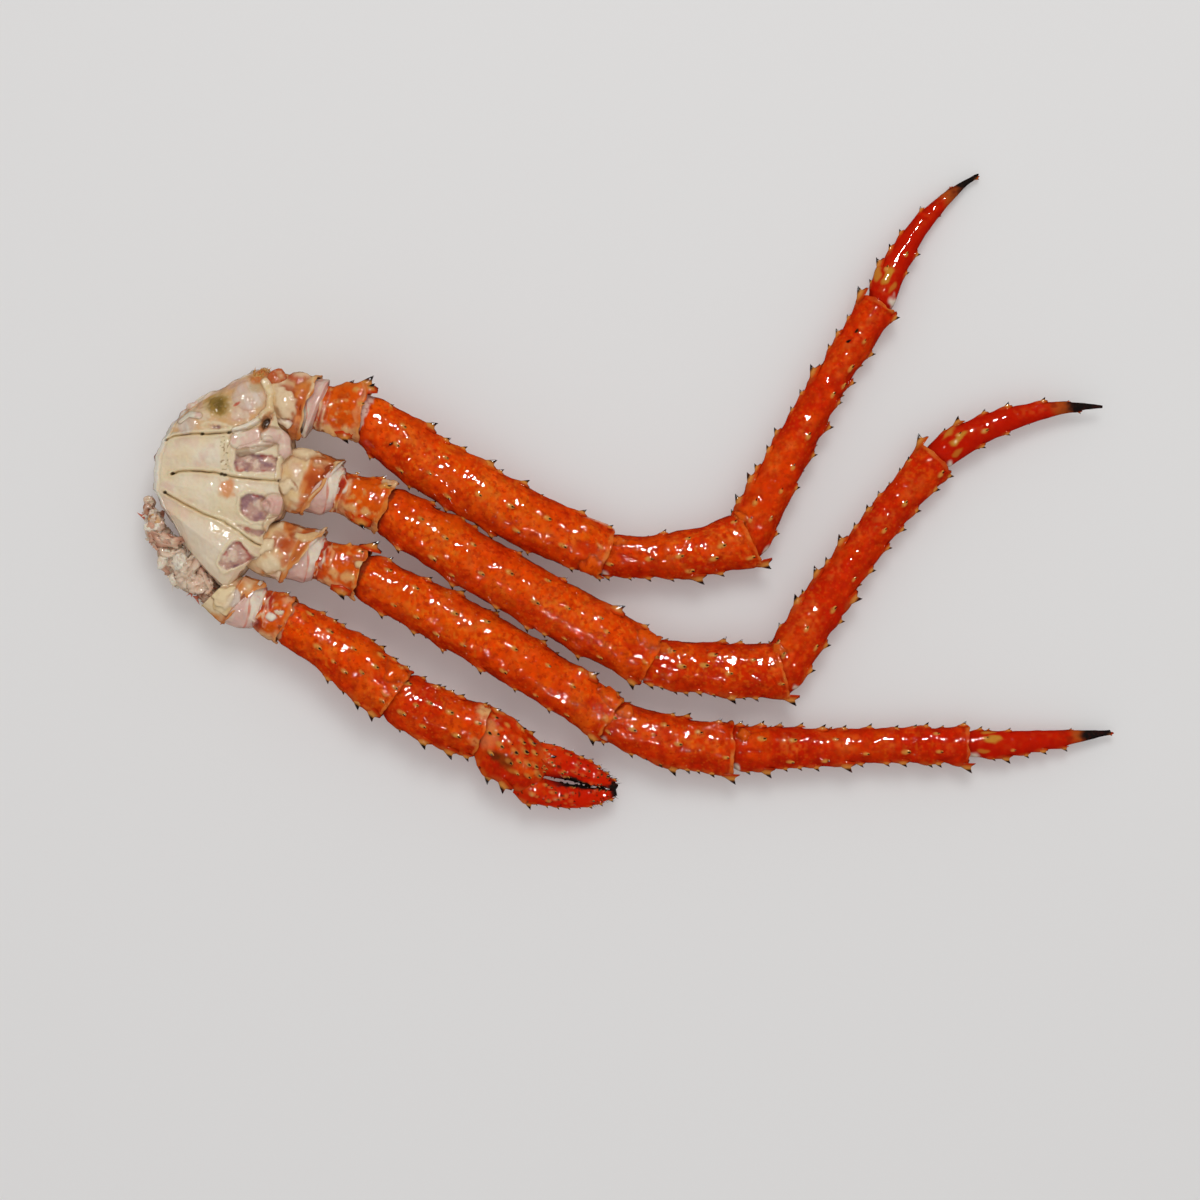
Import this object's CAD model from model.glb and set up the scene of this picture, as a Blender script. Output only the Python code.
"""Looks of a cooked king crab leg cluster: spiny glossy shell, moist joint skin, the cut shoulder
with its meat windows, torn meat, and the small claw."""

import math
from collections import namedtuple

import bpy
import mathutils
import numpy as np
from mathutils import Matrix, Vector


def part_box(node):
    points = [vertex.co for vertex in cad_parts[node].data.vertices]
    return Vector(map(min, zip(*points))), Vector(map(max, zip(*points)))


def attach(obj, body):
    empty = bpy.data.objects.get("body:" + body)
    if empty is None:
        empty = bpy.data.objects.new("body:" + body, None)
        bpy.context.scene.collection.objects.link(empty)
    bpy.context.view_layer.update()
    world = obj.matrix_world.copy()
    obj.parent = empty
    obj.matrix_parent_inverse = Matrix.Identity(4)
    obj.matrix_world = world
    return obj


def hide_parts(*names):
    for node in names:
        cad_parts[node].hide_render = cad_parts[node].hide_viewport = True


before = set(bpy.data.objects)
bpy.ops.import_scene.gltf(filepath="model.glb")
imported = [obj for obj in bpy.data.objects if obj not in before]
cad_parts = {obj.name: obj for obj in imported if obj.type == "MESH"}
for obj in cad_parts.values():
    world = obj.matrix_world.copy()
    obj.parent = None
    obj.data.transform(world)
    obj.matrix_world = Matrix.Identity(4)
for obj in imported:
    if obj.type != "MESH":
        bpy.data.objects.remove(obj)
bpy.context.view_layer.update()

# ---------------------------------------------------------------- sizes and colours
FLATNESS = 0.93  # a leg's height over its width
HUB_REACH = (0.09346, 0.04390)  # from the fan's hub to the far corner of the shoulder's box
HUB_HEIGHT = 0.023
MM = 0.001
START_SHEAR = 0.9  # how much of the solid's slant a piece's start and end keep
END_SHEAR = 0.4

ORANGE = (0.790, 0.061, 0.001)
AMBER = (0.800, 0.115, 0.003)
RED = (0.590, 0.015, 0.001)
MAROON = (0.230, 0.012, 0.003)
PEACH = (0.820, 0.330, 0.120)
CREAM = (0.840, 0.660, 0.420)
IVORY = (0.850, 0.755, 0.600)
OCHRE = (0.600, 0.270, 0.030)
MAUVE = (0.540, 0.320, 0.300)
BLOOD = (0.420, 0.030, 0.018)
SOOT = (0.012, 0.008, 0.007)
KNOB = (0.690, 0.300, 0.055)
TAN = (0.780, 0.560, 0.280)
BLOTCH = (0.760, 0.440, 0.160)
RUST = (0.620, 0.130, 0.028)
CREASE = (0.260, 0.045, 0.010)


# ---------------------------------------------------------------- smooth random fields
def cell_value(cell, seed):
    """0 to 1 for each whole-number cell: its three indices times large odd numbers, mixed by
    exclusive or, shifts and products that wrap at 32 bits."""
    index = cell.astype(np.int64).astype(np.uint64) & np.uint64(0xFFFFFFFF)
    mixed = index[..., 0] * np.uint64(73856093)
    mixed = mixed ^ (index[..., 1] * np.uint64(19349663))
    mixed = mixed ^ (index[..., 2] * np.uint64(83492791)) ^ np.uint64(seed * 2654435761)
    for shift, factor in ((15, 2246822519), (13, 3266489917)):
        mixed = mixed & np.uint64(0xFFFFFFFF)
        mixed = (mixed ^ (mixed >> np.uint64(shift))) * np.uint64(factor)
    mixed = (mixed & np.uint64(0xFFFFFFFF)) >> np.uint64(8)
    return mixed.astype(float) / 0xFFFFFF


def mottle(points, size, seed=1):
    """A field from -1 to 1 that changes over size: the eight corner values of the cell round a
    point, blended by 3t^2 - 2t^3 of its place in the cell."""
    scaled = np.asarray(points) / size
    cell = np.floor(scaled)
    part = scaled - cell
    part = part * part * (3 - 2 * part)
    total = 0.0
    for corner in np.ndindex(2, 2, 2):
        weight = np.prod(np.where(np.array(corner) == 1, part, 1 - part), axis=-1)
        total = total + weight * cell_value(cell + np.array(corner), seed)
    return 2 * total - 1


def grainy(points, size, seed=1, octaves=3):
    """Mottle of halving size and halving strength, added up."""
    return sum(0.5**k * mottle(points, size * 0.5**k, seed + 7 * k) for k in range(octaves))


def ramp(value, low, high):
    """0 below low, 1 above high, and 3t^2 - 2t^3 between."""
    t = np.clip((np.asarray(value) - low) / (high - low), 0, 1)
    return t * t * (3 - 2 * t)


def blend(colours, other, amount):
    """Each colour moved towards the other by amount."""
    amount = np.asarray(amount)[..., None]
    return colours * (1 - amount) + np.asarray(other) * amount


def all_over(colour, points):
    """The one colour at every point."""
    return np.broadcast_to(colour, np.shape(points))


def mottled(colours, other, most, points, size, seed, low, high):
    """Colours moved towards the other in soft spots: a ramp of the grainy field, times most."""
    return blend(colours, other, most * ramp(grainy(points, size, seed), low, high))


def bell(value, middle, half):
    """e to the minus square of the distance from the middle in halves."""
    return np.exp(-(((value - middle) / half) ** 2))


def dome(far):
    """The square root of 1 - far^2, and 0 beyond 1."""
    return np.sqrt(np.clip(1 - far**2, 0, 1))


# ---------------------------------------------------------------- directions and turns
def unit(vectors):
    """Each vector at length 1."""
    return vectors / np.linalg.norm(vectors, axis=-1, keepdims=True)


def left_of(chord):
    """The level direction at a right angle to the chord, on its left."""
    return np.array([-chord[1], chord[0], 0.0]) / np.hypot(chord[0], chord[1])


def full_turn(count):
    """Even angles round a full turn."""
    return 2 * math.pi * np.arange(count) / count


def turn_from(middle, angle):
    """Angle measured from the middle, between -pi and pi."""
    return (angle - middle + math.pi) % (2 * math.pi) - math.pi


# ---------------------------------------------------------------- pieces from grids
class Piece:
    """Gathers closed grids of points into one mesh with a colour at each point."""

    def __init__(self):
        self.points, self.colours, self.quads, self.tris, self.count = [], [], [], [], 0

    def closed_tube(self, points, colours, grain=1.0):
        """Adds rows of points that run round. The first and last rows close on their middles."""
        rows, turns = points.shape[:2]
        index = self.count + np.arange(rows * turns).reshape(rows, turns)
        after = np.roll(index, -1, axis=1)
        quads = np.stack([index[:-1], after[:-1], after[1:], index[1:]], axis=-1).reshape(-1, 4)
        poles = self.count + rows * turns + np.arange(2)
        fans = [
            np.stack([np.full(turns, poles[0]), after[0], index[0]], axis=-1),
            np.stack([np.full(turns, poles[1]), index[-1], after[-1]], axis=-1),
        ]
        middles = np.stack([points[0].mean(axis=0), points[-1].mean(axis=0)])
        ends = np.stack([colours[0].mean(axis=0), colours[-1].mean(axis=0)])
        self._add(np.concatenate([points.reshape(-1, 3), middles]),
                  np.concatenate([colours.reshape(-1, 3), ends]), grain, quads,
                  np.concatenate(fans))

    def _add(self, points, colours, grain, quads, tris):
        """Adds a closed surface, turned inside out first if its volume comes out negative."""
        corners = points[tris - self.count]
        sides = points[quads - self.count]
        middle = points.mean(axis=0)
        volume = np.linalg.det(corners - middle).sum()
        volume += np.linalg.det(sides[:, [0, 1, 2]] - middle).sum()
        volume += np.linalg.det(sides[:, [0, 2, 3]] - middle).sum()
        if volume < 0:
            quads, tris = quads[:, ::-1], tris[:, ::-1]
        grain = np.full(len(points), grain)
        self.points.append(points)
        self.colours.append(np.column_stack([colours, grain]))
        self.quads.append(quads)
        self.tris.append(tris)
        self.count += len(points)

    def finish(self, name, node, slot, materials):
        """Makes the mesh object that stands for the CAD node."""
        points = np.concatenate(self.points)
        points[:, 2] = np.maximum(points[:, 2], 0.05 * MM)  # what lies on the table is flat there
        quads, tris = np.concatenate(self.quads), np.concatenate(self.tris)
        totals = np.concatenate([np.full(len(quads), 4), np.full(len(tris), 3)])
        corners = np.concatenate([quads.ravel(), tris.ravel()])
        mesh = bpy.data.meshes.new(name)
        mesh.vertices.add(len(points))
        mesh.vertices.foreach_set("co", points.astype(np.float32).ravel())
        mesh.loops.add(len(corners))
        mesh.loops.foreach_set("vertex_index", corners.astype(np.int32))
        mesh.polygons.add(len(totals))
        mesh.polygons.foreach_set("loop_start", (np.cumsum(totals) - totals).astype(np.int32))
        mesh.polygons.foreach_set("loop_total", totals.astype(np.int32))
        mesh.update(calc_edges=True)
        mesh.shade_smooth()
        paint = mesh.attributes.new("paint", "FLOAT_COLOR", "POINT")
        paint.data.foreach_set("color", np.concatenate(self.colours).astype(np.float32).ravel())
        mesh.materials.append(materials[slot])
        obj = bpy.data.objects.new(name, mesh)
        bpy.context.scene.collection.objects.link(obj)
        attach(obj, "root")
        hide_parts(node)


# ---------------------------------------------------------------- lines taken from the solids
def triangles(node):
    """The CAD node's triangles as an array of corners."""
    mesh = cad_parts[node].data
    points = np.empty(len(mesh.vertices) * 3)
    mesh.vertices.foreach_get("co", points)
    mesh.calc_loop_triangles()
    faces = np.empty(len(mesh.loop_triangles) * 3, dtype=np.int32)
    mesh.loop_triangles.foreach_get("vertices", faces)
    return points.reshape(-1, 3)[faces.reshape(-1, 3)]


def end_faces(corners, start_from):
    """The two flat end faces as (middle, outward direction). Of the groups of triangles in one
    plane, over 50 mm2, the first is the nearest to start_from and the last looks most the other
    way."""
    cross = np.cross(corners[:, 1] - corners[:, 0], corners[:, 2] - corners[:, 0])
    area = np.linalg.norm(cross, axis=1) / 2
    normal = cross / (2 * area[:, None] + 1e-15)
    middle = corners.mean(axis=1)
    offset = (normal * middle).sum(axis=1)
    key = np.round(np.column_stack([normal * 40, offset * 4000]))
    _, group = np.unique(key, axis=0, return_inverse=True)
    group = group.ravel()
    group_area = np.bincount(group, area)
    flats = []
    for number in np.flatnonzero(group_area > 50e-6):
        inside = group == number
        centre = (middle[inside] * area[inside, None]).sum(axis=0) / area[inside].sum()
        flats.append((centre, normal[inside].mean(axis=0)))
    first = min(flats, key=lambda flat: np.linalg.norm(flat[0] - start_from))
    last = min(flats, key=lambda flat: flat[1] @ first[1])
    return first, last


class Run:
    """The line that a leg piece is built along: a parabola from start to end that bows to its
    left, with half-widths at even stations and the slants of its two ends."""

    def __init__(self, start, end, bow, widths, slants=(0.0, 0.0)):
        """Control is the parabola's middle point: twice the bow out from the chord's."""
        self.start, self.end = start, end
        chord = end - start
        self.length = np.linalg.norm(chord)
        self.control = (start + end) / 2 + 2 * bow * left_of(chord)
        self.widths = np.asarray(widths)
        self.stations = np.linspace(0, 1, len(self.widths))
        self.start_slant, self.end_slant = slants

    def at(self, along):
        """Middle, direction ahead, left and up at a distance from the start. The line is
        (1-t)^2 start + 2t(1-t) control + t^2 end, drawn on straight beyond its ends."""
        share = np.clip(along / self.length, 0, 1)[..., None]
        over = np.asarray(along)[..., None] - share * self.length
        centre = (1 - share) ** 2 * self.start + 2 * share * (1 - share) * self.control
        centre = centre + share**2 * self.end
        ahead = (1 - share) * (self.control - self.start) + share * (self.end - self.control)
        ahead = unit(ahead)
        left = unit(np.stack([-ahead[..., 1], ahead[..., 0], 0 * ahead[..., 0]], axis=-1))
        return centre + over * ahead, ahead, left, np.cross(ahead, left)

    def width(self, along):
        """Half-width at a distance from the start, even between the stations."""
        return np.interp(along / self.length, self.stations, self.widths)


def gauge(node, start_from, stations=9, pointed=False):
    """The run of a leg solid: from end face to end face, bowed as its middle stretch is, with
    the median of its corners' distances from that line as half-widths."""
    corners = triangles(node)
    (start, first), (end, last) = end_faces(corners, start_from)
    cloud = corners.reshape(-1, 3)
    if pointed:
        end = cloud[np.argmax(np.linalg.norm(cloud - start, axis=1))]
    chord = end - start
    left = left_of(chord)
    place = (cloud - start) @ chord / (chord @ chord)
    middle = np.abs(place - 0.5) < 0.2
    bow = np.percentile(((cloud - start) @ left)[middle], [4, 96]).mean() if stations > 3 else 0.0
    run = Run(start, end, bow, np.ones(stations))
    centre, _, left, up = run.at(np.clip(place, 0, 1) * run.length)
    away = cloud - centre
    round_off = np.hypot((away * left).sum(axis=1), (away * up).sum(axis=1) / FLATNESS)
    outer = round_off > 0.25 * MM
    reach = 0.75 / (stations - 1)
    run.widths = np.array([
        np.median(round_off[outer & (np.abs(place - station) < reach)]) for station in run.stations
    ])
    _, ahead, left, _ = run.at(np.array([0.0, run.length]))
    run.start_slant = -(first @ left[0]) / (first @ ahead[0])
    run.end_slant = 0.0 if pointed else -(last @ left[1]) / (last @ ahead[1])
    return run


def on_shell(run, along, angle, girth=1.0):
    """Point, outward direction and direction ahead at an angle a from the left over the top:
    middle + girth * width * (left cos a + flatness * up sin a), moved ahead by a slant times its
    distance to the left. The slant is that of the run's ends and fades away from them."""
    along, angle = np.broadcast_arrays(along, angle)
    centre, ahead, left, up = run.at(along)
    width = run.width(along) * girth
    aside, rise = width * np.cos(angle), width * FLATNESS * np.sin(angle)
    fade = min(1.1 * run.widths.max(), run.length / 2)
    slant = START_SHEAR * run.start_slant * ramp(along, fade, 0.0)
    slant = slant + END_SHEAR * run.end_slant * ramp(along, run.length - fade, run.length)
    points = centre + aside[..., None] * left + rise[..., None] * up
    points = points + (slant * aside)[..., None] * ahead
    outward = np.cos(angle)[..., None] * left * FLATNESS + np.sin(angle)[..., None] * up
    return points, unit(outward), ahead


# ---------------------------------------------------------------- thorns and lumps
THORN_RISE = (-0.12, 0.04, 0.2, 0.42, 0.66, 0.9, 1.0)  # of its height, foot to tip
THORN_GIRTH = (1.5, 1.15, 0.75, 0.5, 0.31, 0.12, 0.03)  # of its foot's half-width, at each rise


def thorn(piece, base, outward, ahead, height, foot, colour, lean, dark_from):
    """One pointed thorn. Its axis runs t * outward + lean * t^1.5 * ahead, its section is an oval
    longer along the leg, and its radius is (1 - t) with a flared foot and a blunt tip."""
    t = np.array(THORN_RISE)
    radius = np.array(THORN_GIRTH) * foot
    turn = full_turn(6)
    across = np.cross(outward, ahead)
    drift = lean * np.maximum(t, 0) ** 1.5
    axis = base + height * (t[:, None] * outward + drift[:, None] * ahead)
    ring = np.cos(turn)[:, None] * across + 1.45 * np.sin(turn)[:, None] * ahead
    points = axis[:, None] + radius[:, None, None] * ring[None]
    colours = np.broadcast_to(np.asarray(colour), (len(t), 3))
    if dark_from < 1:
        colours = blend(colours, KNOB, ramp(t, 0.0, 0.3) * 0.8)
        colours = blend(colours, SOOT, ramp(t, dark_from - 0.12, dark_from + 0.1))
    colours = np.repeat(colours[:, None], len(turn), axis=1)
    piece.closed_tube(points, colours, 0.3)


LUMP_GRAIN = 0.4
MEAT_HOLLOW = (0.33, 0.11, 0.06)
MEAT_CREST = (0.86, 0.76, 0.61)


def lump(piece, centre, radii, turn, colour, roughness, tilt, seed, other, torn=False):
    """A rounded lobe: an oval ball of the given half-sizes with its sides squared a little, turned
    about the upright and tilted, whose surface moves out and in by a smooth random field. Torn
    meat moves by 1 - 3 |field|, which leaves sharp folds where the field is nought."""
    theta = np.linspace(0.04, math.pi - 0.04, 22)
    phi = full_turn(30)
    ball = np.stack([
        np.outer(np.sin(theta), np.cos(phi)),
        np.outer(np.sin(theta), np.sin(phi)),
        np.outer(np.cos(theta), np.ones(30)),
    ], axis=-1)
    ball = np.sign(ball) * np.abs(ball) ** 0.85
    local = ball * np.asarray(radii)
    spin, lean = math.radians(turn), math.radians(tilt)
    local = local @ np.array([[1, 0, 0], [0, math.cos(lean), math.sin(lean)],
                              [0, -math.sin(lean), math.cos(lean)]])
    local = local @ np.array([[math.cos(spin), math.sin(spin), 0],
                              [-math.sin(spin), math.cos(spin), 0], [0, 0, 1]])
    points = np.asarray(centre) + local
    size = (2.2 if torn else 0.8) * min(radii)
    field = grainy(points, size, seed)
    colours = all_over(colour, points)
    if torn:
        fine = 1 - 3 * np.abs(grainy(points, 1.7 * MM, seed + 5, 2))
        field = 1.0 - 3.0 * np.abs(field) + 0.5 * fine
        colours = blend(colours, MEAT_HOLLOW, 0.75 * ramp(field, -0.2, -1.2))
        colours = blend(colours, MEAT_CREST, 0.35 * ramp(field, 0.3, 1.0))
    points = points + (roughness * field)[..., None] * ball
    colours = blend(colours, other, ramp(grainy(points, 1.5 * size, seed + 20), -0.2, 0.9))
    piece.closed_tube(points, colours, LUMP_GRAIN)


class Patch:
    """A raised or painted place on a shell: an oval round a point of it, bent by smooth random
    fields. One over 1.2 mm high is a lobe: it rises as the square root of 1 - distance^2 and a
    dark crease runs round it."""

    def __init__(self, place, degrees, half_length, half_breadth, height, colour, strength=1.0):
        """Place is a share of the run's length; sizes and height are in millimetres."""
        self.place, self.angle = place, math.radians(degrees)
        self.half_length, self.half_breadth = half_length * MM, half_breadth * MM
        self.height, self.colour, self.strength = height * MM, colour, strength
        self.lobe = height > 1.2

    def apply(self, run, along, angle, points, height, colours, shown):
        """Height and colours with this patch added."""
        ahead = along - self.place * run.length + 2.0 * MM * grainy(points, 6 * MM, 33, 2)
        round_ = run.width(along) * turn_from(self.angle, angle)
        round_ = round_ + 2.0 * MM * grainy(points, 6 * MM, 35, 2)
        far = np.hypot(ahead / self.half_length, round_ / self.half_breadth)
        far = far * (1 + 0.2 * mottle(points, 2.2 * MM, 37))
        if not self.lobe:
            lift = self.height * ramp(far, 1.25, 0.3) * shown
            return height + lift, blend(colours, self.colour, self.strength * ramp(far, 1.2, 0.5) * shown)
        gaps = 1 - ramp(self.height, 2.1 * MM, 1.9 * MM) * ramp(mottle(points, 6 * MM, 38), 0.5, -0.5)
        crease = bell(far, 1.1, 0.14) * shown * gaps
        rise = dome(far) * shown
        colours = blend(colours, self.colour, self.strength * ramp(far, 1.15, 0.85) * shown)
        height = height + self.height * rise - 0.5 * MM * crease
        return height, blend(colours, CREASE, 0.45 * crease)


# ---------------------------------------------------------------- shell segments
PALE_GRAIN = (0.86, 0.21, 0.012)
PALE_BACK = (0.86, 0.21, 0.030)
FLANK_RED = (0.43, 0.010, 0.001)
FOLD_CREAM = (0.80, 0.55, 0.36)
HOLLOW_RED = (0.42, 0.055, 0.012)
RIM_AMBER = (0.74, 0.25, 0.04)
NECK_ROUND = 4.6 * MM  # how far on from its start a segment's rounded neck ends
LIP_ROOT = 3.5 * MM  # how far before its end the collar starts to flare


def shell_paint(points, angle, redness):
    """Cooked shell: orange that turns red with a smooth random field, amber in places, a fine
    paler grain, deep red on the right flank and low on the sides, and pale under the leg."""
    tone = redness + 0.24 * mottle(points, 16 * MM, 3) + 0.20 * grainy(points, 5 * MM, 5)
    colours = blend(all_over(ORANGE, points), RED, ramp(tone, 0.15, 0.95))
    amber = ramp(grainy(points, 9 * MM, 11), 0.0, 0.9) * ramp(redness, 0.9, 0.2)
    colours = blend(colours, AMBER, 0.6 * amber)
    fine = ramp(mottle(points, 1.3 * MM, 13), 0.0, 0.7) * ramp(mottle(points, 13 * MM, 14), -0.5, 0.4)
    colours = blend(colours, PALE_GRAIN, 0.5 * fine * ramp(redness, 1.1, 0.3))
    crest = bell(angle, 1.35, 0.6) * ramp(grainy(points, 10 * MM, 18), -0.3, 0.6)
    colours = blend(colours, PALE_BACK, 0.36 * crest * ramp(mottle(points, 1.6 * MM, 19), -0.6, 0.6))
    rough = 0.22 * grainy(points, 4 * MM, 16, 2)
    flank = ramp(-np.cos(angle) + 1.6 * rough, 0.1, 1.0) + 0.7 * ramp(np.cos(angle) + rough, 0.6, 1.05)
    flank = flank * (0.8 + 0.3 * grainy(points, 2.6 * MM, 24, 2))
    colours = blend(colours, FLANK_RED, 0.85 * flank * ramp(np.sin(angle), -0.5, 0.0))
    low = np.sin(angle) + rough
    colours = blend(colours, MAROON, 0.6 * ramp(low, 0.3, -0.2) * ramp(low, -0.8, -0.3))
    colours = blend(colours, PEACH, 0.6 * ramp(low, -0.6, -0.95))
    return colours * (1 + 0.17 * grainy(points, 2.4 * MM, 20, 2))[..., None]


def segment_rows(run, spacing, neck, lip, pointed=False):
    """Distances along the run and girths for its rings: a rounded neck that starts inside the
    piece before, the body, and a collar that flares, turns over a round lip and goes back in."""
    neck_along = np.linspace(-neck, NECK_ROUND, 18)
    neck_girth = 0.80 + 0.20 * ramp(neck_along, -neck, NECK_ROUND)
    stop = run.length - (0.0 if pointed else LIP_ROOT)
    body = np.linspace(5.1 * MM, stop, int((stop - 5.1 * MM) / spacing))
    along, girth = np.append(neck_along, body), np.append(neck_girth, np.ones(len(body)))
    if pointed:
        return along, girth
    width = run.widths[-1]
    rise = np.linspace(0, 1, 8)[1:]
    turn = np.linspace(math.pi / 2, -math.pi / 2, 8)[1:]
    along = np.concatenate([
        along, stop + rise * LIP_ROOT, run.length + lip * np.cos(turn),
        run.length - np.linspace(0.8, 4.0, 5) * MM,
    ])
    girth = np.concatenate([
        girth, 1 + lip / width * ramp(rise, 0.2, 1.0), 1 + lip / width * np.sin(turn),
        1 - lip / width - np.linspace(0.01, 0.12, 5),
    ])
    return along, girth


def build_shell(run, redness, thorns=(), patches=(), spacing=0.5 * MM, turns=120, neck=5 * MM,
                lip=0.6 * MM, pointed=False, lumpy=1.0, ragged=0.7 * MM, painter=None, piece=None,
                crests=0.0, neck_tint=None, grain=1.0, torn=0.0):
    """A shell segment: rings along its run, with relief from smooth random fields, a mound under
    each thorn, raised patches and paint. Its far rim is moved along by a random field of its
    angle. Crests is how much of its high places turn cream and its hollows dark red, and torn how
    far its start is drawn up into red and cream folds, which run round the leg."""
    piece = piece or Piece()
    along, girth = segment_rows(run, spacing, neck, lip, pointed)
    angle = full_turn(turns)
    along_grid, angle_grid = np.meshgrid(along, angle, indexing="ij")
    if not pointed:
        waves = np.stack([2.2 * np.cos(angle), 2.2 * np.sin(angle), run.length * 1e3 + 0 * angle], -1)
        shift = ragged * grainy(waves, 1.0, 15) * ramp(along, run.length - 7 * MM, run.length)[:, None]
        along_grid = along_grid + shift
    points, outward, _ = on_shell(run, along_grid, angle_grid, girth[:, None])
    colours = (painter or shell_paint)(points, angle_grid, redness)
    inside = (np.arange(len(along)) >= len(along) - 5) & (not pointed)
    shown = np.where(inside, 0.0, 1.0)[:, None] * np.ones(turns)
    relief = lumpy * (0.62 * grainy(points, 12 * MM, 2) + 0.15 * grainy(points, 3.2 * MM, 9)) * MM
    height = relief * shown * ramp(along, -1 * MM, 4 * MM)[:, None]
    for patch in patches:
        height, colours = patch.apply(run, along_grid, angle_grid, points, height, colours, shown)
    if torn:
        folds = points @ np.array([[1.0, 0, 0], [-0.3, 0.3, 0], [0, 0, 0.3]])
        folds = 1 - 3 * np.abs(grainy(folds, 2.6 * MM, 23, 2))
        near = torn * ramp(along_grid, 11 * MM, 4.5 * MM) * ramp(np.sin(angle_grid), -0.1, 0.4)
        height = height + 0.8 * MM * near * folds
        colours = blend(colours, BLOOD, 0.85 * near * ramp(folds, 0.35, -0.7))
        colours = blend(colours, FOLD_CREAM, 0.75 * near * ramp(folds, 0.35, 0.95))
    if crests:
        colours = blend(colours, CREAM, crests * ramp(height, 0.5 * MM, 1.9 * MM) * shown)
        colours = blend(colours, HOLLOW_RED, crests * ramp(height, -0.4 * MM, -1.6 * MM))
    for spot in thorns:
        foot, size = spot.mound(run, along_grid, angle_grid)
        height = height + size * foot * shown
        colours = blend(colours, KNOB, spot.tint * ramp(foot, 0.4, 0.9) * shown)
    if not pointed:
        back = run.length - along_grid + 0.5 * MM * mottle(points, 3 * MM, 21)
        height = height - 0.35 * MM * bell(back, 2.6 * MM, 0.7 * MM) * shown
        uneven = 0.3 + 0.45 * mottle(points, 5 * MM, 22)
        colours = blend(colours, RIM_AMBER, uneven * ramp(back, 1.7 * MM, 0.9 * MM) * shown)
        colours = blend(colours, MAROON, 0.8 * (1 - shown))
    if neck_tint is not None:
        collar = along_grid + 1.0 * MM * grainy(points, 3 * MM, 39)
        colours = blend(colours, neck_tint, 0.85 * ramp(collar, 1.5 * MM, 0.5 * MM))
    points = points + height[..., None] * outward
    piece.closed_tube(points, colours, grain)
    for spot in thorns:
        spot.raise_on(piece, run)
    return piece


class Spot:
    """A thorn's place on a shell. A knob is a low ochre mound with a short dark point; an edge
    thorn is taller, out of a mound of the shell itself."""

    def __init__(self, place, degrees, height, knob=False, tint=0.85, dark_from=0.34):
        """Place is a share of the run's length, height is in millimetres."""
        self.place, self.angle, self.dark_from = place, math.radians(degrees), dark_from
        self.height, self.knob = height * MM, knob
        self.tint = tint if knob else 0.2 * tint

    def mound(self, run, along, angle):
        """How much each grid point is lifted: a bell whose side towards the body is longer."""
        ahead = along - self.place * run.length + 0.35 * self.height
        reach = (0.62 if self.knob else 1.0) * self.height + 0.3 * MM
        ahead = np.where(ahead < 0, ahead / 1.5, ahead * 1.25) / reach
        round_ = run.width(along) * turn_from(self.angle, angle) / (0.85 * reach)
        return np.exp(-(ahead**2) - round_**2), (0.34 if self.knob else 0.45) * self.height

    def raise_on(self, piece, run):
        """Adds the thorn itself, with its foot a little up the mound."""
        along = np.array([self.place * run.length])
        base, outward, ahead = on_shell(run, along, np.array([self.angle]))
        base = base[0] + 0.26 * self.height * outward[0]
        colour = shell_paint(base[None, None], np.array([[self.angle]]), 0.4)[0, 0]
        if self.knob:
            thorn(piece, base, outward[0], ahead[0], 0.5 * self.height, 0.26 * self.height,
                  KNOB, lean=1.2, dark_from=self.dark_from)
        else:
            thorn(piece, base, outward[0], ahead[0], 0.88 * self.height, 0.56 * self.height,
                  colour, lean=0.7, dark_from=0.56)


def edge_angle(run, place, aside):
    """Degrees round the shell of a point that lies aside millimetres to the left of its middle."""
    width = run.width(np.array(place * run.length)) / MM
    return math.degrees(math.acos(max(-0.96, min(0.96, aside / width))))


Rows = namedtuple("Rows", "left right knobs large", defaults=((), (), (), ()))


def spots_of(run, rows, size, rng, under=14 * MM):
    """Thorns from a segment's rows: along its left and right edges, knobs on top, and by rule two
    rows of short thorns under it."""
    spots = []
    for side, places in ((1, rows.left), (-1, rows.right)):
        for place in places:
            turn = rng.uniform(6, 26)
            height = size * (1.6 if place in rows.large else rng.uniform(0.75, 1.15))
            spots.append(Spot(place, turn if side > 0 else 180 - turn, height))
    for place, aside in rows.knobs:
        spots.append(Spot(place, edge_angle(run, place, aside), size * rng.uniform(0.6, 1.0), True))
    for start, degrees in ((0.3, -32), (0.8, -148)):
        count = int(run.length / under)
        for number in range(count):
            place = (number + start + rng.uniform(-0.2, 0.2)) / count
            spots.append(Spot(place, degrees + rng.uniform(-8, 8), size * 0.7))
    return spots


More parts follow.
